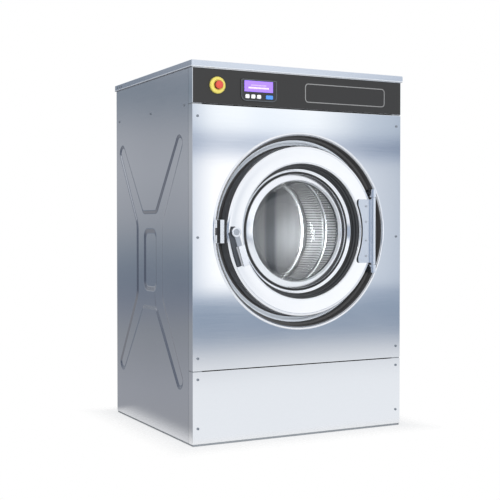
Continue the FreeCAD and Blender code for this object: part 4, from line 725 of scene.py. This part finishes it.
def makeCamera():
    view = {"place": (-1.6166, -3.095, 0.6602), "yaw": 27.363, "pitch": -1.376, "lens": 73.64, "sensor": 36.0}
    deselectAll()
    bpy.ops.object.camera_add(location=view["place"])
    camera = fresh("photoCamera")
    camera.rotation_euler = (math.radians(90 + view["pitch"]), 0, math.radians(-view["yaw"]))
    camera.data.lens = view["lens"]
    camera.data.sensor_width = view["sensor"]
    camera.data.dof.use_dof = False
    scene.camera = camera


makeRoom()
makeFloor()
makeLamps()
makeCamera()
scene.view_settings.view_transform = "Standard"
print("studio ready")


# Front sheets with softened outer edges
def buildFrontSheets():
    sheet = {"softening": 0.0011, "near": 0.0004}
    near = sheet["near"]
    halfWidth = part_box("front_panel")[1].x
    for node, name in (("front_panel", "frontSheet"), ("lower_front_panel", "lowerFrontSheet"),
                       ("console_panel", "consoleSheet")):
        low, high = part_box(node)

        def outerEdge(*ends):
            onFront = all(spot.y <= frontY + near for spot in ends)
            onSide = all(abs(abs(spot.x) - halfWidth) < near for spot in ends)
            return onFront and (onSide or any(atLevel(ends, 2, level, near) for level in (low.z, high.z)))

        piece = mergedCopy(node, name)
        bevelWhere(piece, outerEdge, sheet["softening"])
        finishPiece(piece, "cabinet", "frontSteel", [node])


# Side sheets: the sunk cross gets wide, soft slopes
def buildSideSheets():
    emboss = {"depth": 0.003, "spread": 0.0050, "rounding": 0.0024, "near": 0.0003, "margin": 0.01,
              "foot": 0.1, "head": 0.15, "flat": 0.9, "slope": (0.3, 0.992)}
    near = emboss["near"]
    for node, name, side in (("left_side_panel", "leftSideSheet", -1),
                             ("right_side_panel", "rightSideSheet", 1)):
        low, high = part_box(node)
        face = low.x if side < 0 else high.x
        levels = [face - side * step * emboss["depth"] for step in range(3)]
        piece = mergedCopy(node, name)
        for floorX in levels[1:]:
            selectWhere(piece, "FACE", lambda centre, normal: normal.x * side > emboss["flat"]
                        and abs(centre.x - floorX) < near)
            bpy.ops.mesh.inset(thickness=emboss["spread"])
            bpy.ops.object.mode_set(mode="OBJECT")
            inner = {tuple(vertex.co) for vertex in piece.data.vertices if vertex.select}
            selectWhere(piece, "EDGE", lambda *ends: atLevel(ends, 0, floorX, near)
                        and not any(tuple(spot) in inner for spot in ends))
            bpy.ops.mesh.dissolve_edges(use_verts=True)

        def inPanel(spot):
            return (low.y + emboss["margin"] < spot.y < high.y - emboss["margin"]
                    and low.z + emboss["foot"] < spot.z < high.z - emboss["head"])

        bevelWhere(piece, lambda *ends: all(map(inPanel, ends))
                   and any(atLevel(ends, 0, level, near) for level in levels), emboss["rounding"])
        finishPiece(piece, "cabinet", "sideSteel", [node], 40)
        # the pressed slopes get a darker steel: painted shade along the cross's edges
        least, most = emboss["slope"]
        shadeFaces(piece, "embossPaintedShade",
                   lambda centre, normal: inPanel(centre) and least < normal.x * side < most)


# Top cover with a hemmed skirt, its corner seams and the three slots at the left rear
def buildCover():
    cover = {"softening": 0.0012, "tuck": 0.0008, "near": 0.0006}
    low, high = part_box("top_cover")
    piece = mergedCopy("top_cover", "coverSheet")
    for axis, way in ((0, 1), (0, -1), (1, 1), (1, -1)):
        edge = high[axis] if way > 0 else low[axis]
        selectWhere(piece, "VERT", lambda spot: abs(spot[axis] - edge) < cover["near"])
        shift = Vector((0, 0, 0))
        shift[axis] = -way * cover["tuck"]
        bpy.ops.transform.translate(value=shift)
    tuck = Vector((cover["tuck"], cover["tuck"], 0))
    outerLow, outerHigh = low + tuck, high - tuck

    def topEdge(*ends):
        sides = [atLevel(ends, axis, corner[axis], cover["near"])
                 for axis in (0, 1) for corner in (outerLow, outerHigh)]
        return (atLevel(ends, 2, high.z, cover["near"]) and any(sides)) or sum(sides) == 2

    bevelWhere(piece, topEdge, cover["softening"])
    finishPiece(piece, "cabinet", "coverSteel", ["top_cover"])

    hem = {"height": 0.0035, "width": 0.003, "softening": 0.0009}
    middle = (low + high) / 2
    piece = outlinePiece("coverHem", (middle.x, middle.y, low.z), (high.x - low.x, high.y - low.y),
                         hem["width"], (0, 0, hem["height"]))
    roundEdges(piece, hem["softening"])
    finishPiece(piece, "cabinet", "trimSatin")

    seam = {"width": 0.007, "proud": 0.0005, "sunk": 0.0004, "foot": 0.0005, "head": 0.0016,
            "rounding": 0.0003}
    for side, name in ((-1, "coverSeamLeft"), (1, "coverSeamRight")):
        left, right = sorted((side * (high.x - seam["width"]), side * outerHigh.x))
        piece = slabPiece(name, (left, outerLow.y - seam["proud"], low.z + hem["height"] + seam["foot"]),
                          (right, outerLow.y + seam["sunk"], high.z - seam["head"]), seam["rounding"], 2)
        finishPiece(piece, "cabinet", "coverSteel")

    # the slots are dark slabs on the skirt: painted shade of the openings
    slot = {"rears": (0.030, 0.050, 0.066), "proud": 0.0006, "sunk": 0.0004, "width": 0.003, "height": 0.007,
            "drop": 0.0135, "rounding": 0.0004}
    foot = high.z - slot["drop"]
    for number, rear in enumerate(slot["rears"], 1):
        back = high.y - rear
        piece = slabPiece(f"coverSlotShade{number}", (outerLow.x - slot["proud"], back, foot),
                          (outerLow.x + slot["sunk"], back + slot["width"], foot + slot["height"]),
                          slot["rounding"], 2)
        finishPiece(piece, "cabinet", "recessEnamel")


# Raised lip, cone and the turned rings of the door
def buildRings():
    lip = {"section": [
        (0.0, 0.3012), (0.0, 0.3080), (-0.0022, 0.3080), (-0.0040, 0.3068), (-0.0047, 0.3047),
        (-0.0038, 0.3026), (-0.0018, 0.3012)]}
    spunPart("openingLip", "cabinet", "trimChrome", lip, ["lip_ring"])

    flange = {"smooth": 40, "section": [
        (0.0222, 0.2966), (0.0212, 0.2960), (0.0212, 0.2900), (0.0240, 0.2884), (0.0358, 0.2862),
        (0.0358, 0.2890), (0.0242, 0.2912), (0.0222, 0.2912)]}
    spunPart("recessFlange", "cabinet", "recessEnamel", flange)

    # the step leaves room for the latch tongue
    cone = {"rounds": ((4, 0.0014), (6, 0.0012)), "section": [
        (0.0380, 0.2872), (0.0356, 0.2870), (0.0342, 0.2858), (0.0340, 0.2836), (0.0360, 0.2815),
        (0.0379, 0.2784), (0.0434, 0.2780), (0.0470, 0.2706), (0.0546, 0.2703), (0.0546, 0.2724),
        (0.0390, 0.2840)]}
    spunPart("collarCone", "cabinet", "coneSteel", cone, ["collar_cone"])

    # the face is one soft swell between two rounded edges
    ring = {"smooth": 40, "rounds": ((1, 0.0040), (7, 0.0090), (8, 0.0030)), "section": [
        (0.0080, 0.2100), (-0.0115, 0.2106), (-0.0117, 0.2160), (-0.0120, 0.2250), (-0.0124, 0.2350),
        (-0.0129, 0.2450), (-0.0135, 0.2550), (-0.0140, 0.2662), (0.0338, 0.2662), (0.0338, 0.2145)]}
    spunPart("doorRing", "door", "ringSteel", ring, ["door_ring"])

    # dark band round the outer wall of the door
    band = {"section": [
        (-0.0030, 0.2658), (-0.0022, 0.2668), (-0.0010, 0.2670), (0.0320, 0.2670), (0.0332, 0.2666),
        (0.0336, 0.2658)]}
    spunPart("doorRimBand", "door", "doorRimDark", band)

    cuff = {"steps": 160, "smooth": 35,
            "rounds": ((2, 0.0005), (5, 0.0009), (6, 0.0005), (9, 0.0009)), "section": [
        (-0.0027, 0.2096), (-0.0027, 0.2076), (0.0066, 0.2060), (0.0066, 0.2078), (0.0086, 0.2076),
        (0.0086, 0.2030), (0.0172, 0.2014), (0.0172, 0.2032), (0.0192, 0.2030), (0.0192, 0.1986),
        (0.0300, 0.1968), (0.0495, 0.1966), (0.0495, 0.2080), (0.0340, 0.2110)]}
    spunPart("doorCuff", "door", "cuffGloss", cuff, ["door_cuff"])

    # bright ring: a sloped outer wall, the dark groove and the band against the glass
    clamp = {"steps": 160, "smooth": 35, "sleeve": 0.1602,
             "rounds": ((1, 0.0004), (2, 0.0012), (3, 0.0006), (6, 0.0012), (7, 0.0012)), "section": [
        (0.0398, 0.1956), (0.0234, 0.1962), (0.0225, 0.1953), (0.0302, 0.1876), (0.0318, 0.1870),
        (0.0318, 0.1812), (0.0298, 0.1806), (0.0232, 0.1616), (0.0250, 0.1600), (0.0398, 0.1598)]}
    piece = spunPart("clampRing", "door", "clampSteel", clamp, ["glass_clamp_ring"])
    shadeFaces(piece, "sleeveSatin",
               lambda centre, normal: math.hypot(centre.x, centre.z - axisPoint.z) < clamp["sleeve"])
    # a dark rubber ring laid in the groove: painted shade
    groove = {"steps": 160, "smooth": 35, "flat": True, "section": [
        (0.0318, 0.1870), (0.0306, 0.1866), (0.0306, 0.1816), (0.0318, 0.1812)]}
    spunPart("clampGrooveShade", "door", "gasketRubber", groove)


def buildGlass():
    # inner and outer corners share their centres, so that the view through the bowl stays straight
    bowl = {"steps": 256, "smooth": 50, "flat": True,
            "rounds": ((2, 0.0360), (5, 0.03745)), "roundSteps": 18, "section": [
        (0.0262, 0.1602), (0.0272, 0.1592), (0.1292, 0.1260), (0.1292, 0.0), (0.1312, 0.0),
        (0.1312, 0.1275), (0.0440, 0.1559), (0.0420, 0.1600), (0.0420, 0.1780), (0.0400, 0.1780),
        (0.0400, 0.1602)]}
    piece = spunPart("bowlGlass", "door", "doorGlass", bowl, ["door_glass"])
    piece.visible_shadow = False  # lamps reach the drum through it


# Hinge plate and brackets; the two points of the plate's waisted edge are cut back and rounded
def buildHinge():
    hinge = {"trim": 0.0088, "corner": 0.0075, "softening": 0.0007, "near": 0.0003, "proud": 0.0042,
             "through": 0.002, "tips": (0.540, 0.744), "tipNear": 0.001, "darkEnd": 0.238, "darkFrom": -0.6}
    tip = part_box("hinge_plate")[0].x + hinge["trim"]
    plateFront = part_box("door_ring")[0].y - hinge["proud"]
    piece = mergedCopy("hinge_plate", "hingePlate")
    editPiece(piece, "SELECT")
    bpy.ops.mesh.bisect(plane_co=(tip, 0, 0), plane_no=(1, 0, 0), clear_inner=True, use_fill=True)

    def tipCorner(one, two):
        through = abs(one.z - two.z) < hinge["near"] and abs(one.y - two.y) > hinge["through"]
        onCut = atLevel((one, two), 0, tip, hinge["near"]) and min(one.y, two.y) > plateFront
        return through and onCut and any(abs(one.z - level) < hinge["tipNear"] for level in hinge["tips"])

    bevelWhere(piece, tipCorner, hinge["corner"], segments=6)
    roundEdges(piece, hinge["softening"], angle=40)
    finishPiece(piece, "door", "fittingSteel", ["hinge_plate"])
    # the plate's cut edge faces are painted dark: painted shade and shadow round its edge
    shadeFaces(piece, "paintedShadeSteel", lambda centre, normal: normal.y > hinge["darkFrom"]
               and centre.x < hinge["darkEnd"] and centre.y > plateFront)
    dressNode("hinge_brackets", "hingeBrackets", "cabinet", "fittingSteel", rounding=0.0008)


# Latch catch: two cheeks with a dark slot between them as painted shade, a dark band as a painted shadow, and
# a block with its left face in painted shade
def buildCatch():
    dressNode("latch_catch", "latchCatch", "cabinet", "trimSatin", rounding=0.0006)
    low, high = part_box("latch_catch")
    left, split, shadowBandEnd, blockEnd = -0.3003, -0.2945, -0.2868, -0.2725
    slotLow, slotHigh, darkFrom = 0.631, 0.653, -0.7
    front, seat = frontY - 0.0006, low.y + 0.0004
    cheek = {"low": (left, front, slotHigh), "high": (split, seat, high.z), "rounding": 0.0006}
    drop = Matrix.Translation((0, 0, low.z - slotHigh))
    piece = joinCopies(slabPiece("catchCheek", **cheek), [Matrix.Identity(4), drop], "catchCheeks")
    finishPiece(piece, "cabinet", "trimSatin")
    # the slot is a dark slab set back between the cheeks: painted shade
    slot = {"low": (left, front + 0.0022, slotLow - 0.001), "high": (split, seat, slotHigh + 0.001),
            "rounding": 0.0003, "segments": 2}
    slabPart("catchSlotShade", "cabinet", "paintedShadeSteel", slot)
    # dark band beside the block: painted shadow
    band = {"low": (split - 0.0002, frontY + 0.0012, low.z + 0.0008),
            "high": (shadowBandEnd, seat, high.z - 0.0008), "rounding": 0.0003, "segments": 2}
    slabPart("catchShadowBand", "cabinet", "gasketRubber", band)
    block = {"low": (shadowBandEnd, frontY - 0.0060, low.z), "high": (blockEnd, seat, high.z), "rounding": 0.0012}
    piece = slabPart("catchBlock", "cabinet", "trimSatin", block)
    # the block's left face is painted dark: painted shade
    shadeFaces(piece, "paintedShadeSteel", lambda centre, normal: normal.x < darkFrom)


# Handle: a leaning blade with a dark strip behind it as a painted shadow, the neck, and the hub with its cap;
# a dark plate by the hub is a painted shadow
def buildHandle():
    handle = {"spindle": 0.007, "lean": 17, "back": 0.4, "front": -0.2, "frontLeft": -0.25, "left": -0.85}
    low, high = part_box("latch_spindle")
    pivot = Vector((high.x - handle["spindle"], 0, low.z + handle["spindle"]))
    lean = [Matrix.Translation(pivot) @ Matrix.Rotation(math.radians(-handle["lean"]), 4, "Y")]

    blade = {"low": (-0.012, frontY - 0.0370, -0.105), "high": (0.012, frontY - 0.0210, -0.042)}
    taper = {"by": 0.003, "near": 0.001, "softening": 0.0022}
    foot, back = blade["low"][2], blade["high"][1]
    piece = slabPiece("handleBlade", **blade)
    selectWhere(piece, "VERT", lambda spot: spot.z < foot + taper["near"] and spot.y > back - taper["near"])
    bpy.ops.transform.translate(value=(0, -taper["by"], 0))
    roundEdges(piece, taper["softening"], 4)
    piece = joinCopies(piece, lean, "doorHandle")
    finishPiece(piece, "handle", "handleSteel", ["door_handle"])
    # the back is painted dark as painted shade, the left front edge as a painted dark reflection; the left
    # wall satin
    shadeFaces(piece, "paintedShadeSteel", lambda centre, normal: normal.y > handle["back"]
               or (normal.y < handle["front"] and normal.x < handle["frontLeft"]))
    shadeFaces(piece, "sleeveSatin", lambda centre, normal: normal.x < handle["left"])

    # dark strip beside the blade: painted shadow
    shadowStrip = {"low": (-0.0225, frontY - 0.0208, foot + 0.001), "high": (0.006, frontY - 0.0160, 0.004),
             "rounding": 0.0008}
    piece = joinCopies(slabPiece("shadowStripBlank", **shadowStrip), lean, "handleShadowStrip")
    finishPiece(piece, "handle", "paintedShadeSteel")
    # dark plate beside the hub: painted shadow
    plate = {"low": pivot + Vector((-0.0128, frontY - 0.0156, -0.0165)),
             "high": pivot + Vector((0.002, frontY - 0.0110, 0.0170)), "rounding": 0.0008}
    slabPart("hubShadowPlate", "door", "paintedShadeSteel", plate)
    neck = {"low": (-0.0082, frontY - 0.0262, -0.046), "high": (0.0082, frontY - 0.0170, -0.008),
            "rounding": 0.0012}
    piece = joinCopies(slabPiece("neckBlank", **neck), lean, "handleNeck")
    finishPiece(piece, "handle", "neckSteel")

    hub = {"steps": 48, "smooth": 40, "section": [
        (-0.0152, 0.0150), (-0.0160, 0.0155), (-0.0282, 0.0155), (-0.0290, 0.0148), (-0.0290, 0.0),
        (-0.0152, 0.0)]}
    # the hub's wall is dark: painted shade
    spunPart("handleHub", "handle", "paintedShadeSteel", hub, (), pivot)
    cap = {"steps": 48, "section": [
        (-0.0284, 0.0154), (-0.0297, 0.0150), (-0.0302, 0.0140), (-0.0302, 0.0104), (-0.0298, 0.0095),
        (-0.0288, 0.0090), (-0.0280, 0.0090)]}
    spunPart("handleCap", "handle", "handleSteel", cap, (), pivot)
    boss = {"steps": 48, "section": [
        (-0.0284, 0.0092), (-0.0293, 0.0087), (-0.0297, 0.0070), (-0.0293, 0.0052), (-0.0291, 0.0047),
        (-0.0294, 0.0040), (-0.0295, 0.0), (-0.0284, 0.0)]}
    spunPart("handleBoss", "handle", "neckSteel", boss, (), pivot)


# Console: stop button, display, keys and the bare name plate
def buildConsole():
    low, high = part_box("estop_collar")
    stopPoint = Vector(((low.x + high.x) / 2, 0, (low.z + high.z) / 2))
    collar = {"steps": 64, "smooth": 35, "rounds": ((1, 0.0024), (2, 0.0020), (3, 0.0010)), "section": [
        (-0.0010, 0.0255), (-0.0072, 0.0255), (-0.0110, 0.0208), (-0.0110, 0.0166), (-0.0078, 0.0126),
        (-0.0010, 0.0126)]}
    spunPart("stopCollar", "cabinet", "stopYellow", collar, ["estop_collar"], stopPoint)
    head = {"steps": 64, "section": [
        (-0.0234, 0.0), (-0.0233, 0.0028), (-0.0228, 0.0058), (-0.0218, 0.0086), (-0.0204, 0.0108),
        (-0.0186, 0.0122), (-0.0164, 0.0126), (-0.0146, 0.0119), (-0.0134, 0.0104), (-0.0118, 0.0098),
        (-0.0074, 0.0098), (-0.0074, 0.0)]}
    spunPart("stopHead", "stop_button", "stopRed", head, ["estop_button"], stopPoint)

    low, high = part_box("control_fascia")
    film = {"low": low - Vector((0, 0.0001, 0.0012)), "high": high, "rounding": 0.0003, "segments": 2}
    slabPart("fasciaFilm", "cabinet", "fasciaFilm", film, ["control_fascia"])

    dressNode("display_bezel", "displayBezel", "cabinet", "bezelBlack", rounding=0.0006)
    rim = {"inset": 0.0014, "width": 0.0012, "height": 0.0003, "topRound": 0.004, "footRound": 0.015,
           "near": 1e-5}
    low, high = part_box("display_bezel")
    middleZ = (low.z + high.z) / 2
    corners = ((lambda spot: spot.z > middleZ, rim["topRound"], 4),
               (lambda spot: spot.z < low.z + rim["inset"] + rim["near"], rim["footRound"], 8))
    size = (high.x - low.x - 2 * rim["inset"], high.z - low.z - 2 * rim["inset"])
    piece = outlinePiece("bezelRim", ((low.x + high.x) / 2, low.y, middleZ), size, rim["width"],
                         (0, -rim["height"], 0), corners, 90)
    finishPiece(piece, "cabinet", "bezelRimGrey")

    keyShape = {"corner": 0.0026, "softening": 0.0007, "depth": 0.0005}
    keys = (("key_1", "keyFirst", "first_key", "keyWhite", "key_white"),
            ("key_2", "keySecond", "second_key", "keyWhite", "key_white"),
            ("key_3", "keyThird", "third_key", "keyWhite", "key_white"),
            ("key_start", "keyStart", "start_key", "keyBlue", "key_blue"))
    for node, name, body, finish, slot in keys:
        piece = slabPiece(name, *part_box(node))
        bevelWhere(piece, lambda one, two: abs(one.y - two.y) > keyShape["depth"], keyShape["corner"], 4)
        roundEdges(piece, keyShape["softening"], 2, angle=50)
        finishPiece(piece, body, finish, [node])

    plate = {"x": (0.010, 0.310), "z": (1.0445, 1.1040), "line": 0.0028, "corner": 0.012, "height": 0.0004}
    (left, right), (foot, top) = plate["x"], plate["z"]
    piece = outlinePiece("blankPlateLine", ((left + right) / 2, film["low"].y, (foot + top) / 2),
                         (right - left, top - foot), plate["line"], (0, -plate["height"], 0),
                         [(lambda spot: True, plate["corner"], 8)], 90)
    finishPiece(piece, "cabinet", "plateGrey")


# Drum: bright bead round the wall, the rolled joint at the back, softened lifters
def buildDrum():
    # the profile gives shares of the bead's half width and of its rise
    bead = {"depth": 0.273, "half": 0.012, "wall": 0.2552, "rise": 0.0060, "rounding": 0.002,
            "profile": ((-1, 0), (-0.75, 0.75), (-0.3, 1), (0.3, 1), (0.75, 0.75), (1, 0))}
    shape = {"steps": 160, "smooth": 35, "rounds": [(index, bead["rounding"]) for index in range(1, 5)],
             "section": [(bead["depth"] + bead["half"] * along, bead["wall"] - bead["rise"] * lift)
                         for along, lift in bead["profile"]]}
    spunPart("drumBead", "drum", "beadSteel", shape)
    joint = {"steps": 160, "section": [
        (0.4060, 0.2552), (0.4105, 0.2530), (0.4150, 0.2490), (0.4188, 0.2430), (0.4200, 0.2370),
        (0.4201, 0.2552)]}
    spunPart("drumJoint", "drum", "beadSteel", joint)
    dressNode("drum_lifters", "drumLifters", "drum", "lifterSteel", rounding=0.006, segments=4)


# The boxes of a node's loose parts
def partBoxes(node):
    piece = mergedCopy(node, "screwSeat")
    editPiece(piece, "SELECT")
    bpy.ops.mesh.separate(type="LOOSE")
    bpy.ops.object.mode_set(mode="OBJECT")
    parts = list(bpy.context.selected_objects)
    boxes = []
    for part in parts:
        spots = [vertex.co for vertex in part.data.vertices]
        boxes.append([Vector(end(spot[axis] for spot in spots) for axis in range(3)) for end in (min, max)])
    for part in parts:
        bpy.data.objects.remove(part)
    return boxes


# Screws: one pan head with a socket, set wherever the frame has one
def buildScrews():
    screw = {"radius": 0.0040, "height": 0.0022, "socket": 0.0021, "sink": 0.0011, "soften": 0.0007,
             "frontNear": 0.002, "sideX": 0.375, "sideNear": 0.005, "faceFrom": -0.9,
             "rearX": (-0.355, 0.355), "rearZ": (0.05, 0.40, 0.75, 1.10)}
    boxes = partBoxes("panel_screws")
    deselectAll()
    bpy.ops.mesh.primitive_cylinder_add(vertices=24, radius=screw["radius"], depth=screw["height"],
                                        location=(0, -screw["height"] / 2, 0),
                                        rotation=(math.radians(90), 0, 0))
    source = fresh("panScrew")
    bpy.ops.object.transform_apply()
    selectWhere(source, "FACE", lambda centre, normal: normal.y < screw["faceFrom"])
    bpy.ops.mesh.inset(thickness=screw["radius"] - screw["socket"])
    bpy.ops.mesh.extrude_region_move(TRANSFORM_OT_translate={"value": (0, screw["sink"], 0)})
    roundEdges(source, screw["soften"], 2, angle=50)

    def placed(seat, turn):
        return Matrix.Translation(seat) @ Matrix.Rotation(math.radians(turn), 4, "Z")

    places = []
    for low, high in boxes:
        middle = (low + high) / 2
        side = math.copysign(1, middle.x)
        if low.y < frontY + screw["frontNear"] and high.y < 0:
            places.append(placed((middle.x, frontY, middle.z), 0))
        elif abs(middle.x) > screw["sideX"] - screw["sideNear"]:
            places.append(placed((side * screw["sideX"], middle.y, middle.z), side * 90))
        else:
            places.append(placed((middle.x, rearY, middle.z), 180))
    places += [placed((across, rearY, level), 180) for across in screw["rearX"] for level in screw["rearZ"]]
    joined = joinCopies(source, places, "panelScrews")
    finishPiece(joined, "cabinet", "screwSteel", ["panel_screws"])


# Rear: pressed hoods over the vent slots
def buildLouvres():
    hood = {"middle": 0.200, "half": 0.074, "foot": 0.3290, "height": 0.011, "proud": 0.0045, "sink": 0.0002,
            "roundFrom": 0.005, "roundShare": 0.96, "pitch": 0.018, "count": 8}
    foot = hood["foot"]
    piece = slabPiece("ventHood", (hood["middle"] - hood["half"], rearY - hood["sink"], foot),
                      (hood["middle"] + hood["half"], rearY + hood["proud"], foot + hood["height"]))
    bevelWhere(piece, lambda one, two: min(one.y, two.y) > rearY
               and min(one.z, two.z) > foot + hood["roundFrom"], hood["proud"] * hood["roundShare"], 5)
    places = [Matrix.Translation((0, 0, number * hood["pitch"])) for number in range(hood["count"])]
    finishPiece(joinCopies(piece, places, "ventHoods"), "cabinet", "sideSteel")


# Rear fittings: nuts and threads of the water inlets, gland nut, clip round the drain pipe
def buildRearFittings():
    def tubeSection(depth, bore, outer):
        start, end = depth
        return [(start, bore), (start, outer), (end, outer), (end, bore)]

    inlet = {"half": 0.019, "bore": 0.0126, "nut": 0.0172, "nutDepth": (0.6502, 0.6560), "softening": 0.0008,
             "root": 0.0131, "crest": 0.0142, "threadFrom": 0.6572, "threadPitch": 0.0018, "turns": 5}
    bore, root, pitch = inlet["bore"], inlet["root"], inlet["threadPitch"]
    low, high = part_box("water_valves")
    level = (low.z + high.z) / 2
    first = Vector((low.x + inlet["half"], 0, level))
    both = [Matrix.Identity(4), Matrix.Translation(Vector((high.x - inlet["half"], 0, level)) - first)]
    nut = spunPiece("nutBlank", tubeSection(inlet["nutDepth"], bore, inlet["nut"]), first, 6)
    roundEdges(nut, inlet["softening"], 2, angle=40)
    finishPiece(joinCopies(nut, both, "inletNuts"), "cabinet", "valveBrass")
    section = [(inlet["threadFrom"], bore), (inlet["threadFrom"], root)]
    for number in range(inlet["turns"]):
        start = inlet["threadFrom"] + number * pitch
        section += [(start + pitch / 2, inlet["crest"]), (start + pitch, root)]
    section.append((section[-1][0], bore))
    threads = joinCopies(spunPiece("threadBlank", section, first, 48), both, "inletThreads")
    finishPiece(threads, "cabinet", "valveBrass", (), 20, False)

    gland = {"depth": (0.6502, 0.6566), "bore": 0.0148, "outer": 0.0176, "softening": 0.0009}
    low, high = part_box("cable_gland")
    section = tubeSection(gland["depth"], gland["bore"], gland["outer"])
    piece = spunPiece("glandNut", section, (low + high) / 2, 6)
    roundEdges(piece, gland["softening"], 2, angle=40)
    finishPiece(piece, "cabinet", "pipeGrey")

    clip = {"depth": (0.6640, 0.6740), "grip": 0.0002, "thickness": 0.0012}
    low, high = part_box("drain_pipe")
    centre, radius = (low + high) / 2, (high.x - low.x) / 2
    shape = {"steps": 64, "smooth": 30,
             "section": tubeSection(clip["depth"], radius - clip["grip"], radius + clip["thickness"])}
    spunPart("pipeClip", "cabinet", "boltSteel", shape, (), centre)
    start, end = clip["depth"]
    screw = {"low": (centre.x - 0.0055, frontY + start + 0.0005, high.z + 0.0004),
             "high": (centre.x + 0.0055, frontY + end - 0.0005, high.z + 0.0085), "rounding": 0.0016}
    slabPart("pipeClipScrew", "cabinet", "boltSteel", screw)


buildFrontSheets()
buildSideSheets()
buildCover()
print("cabinet dressed")
buildRings()
buildGlass()
buildHinge()
buildCatch()
buildHandle()
print("door dressed")
buildConsole()
print("console dressed")
buildDrum()
buildScrews()
buildLouvres()
buildRearFittings()
print("drum, screws and vents dressed")
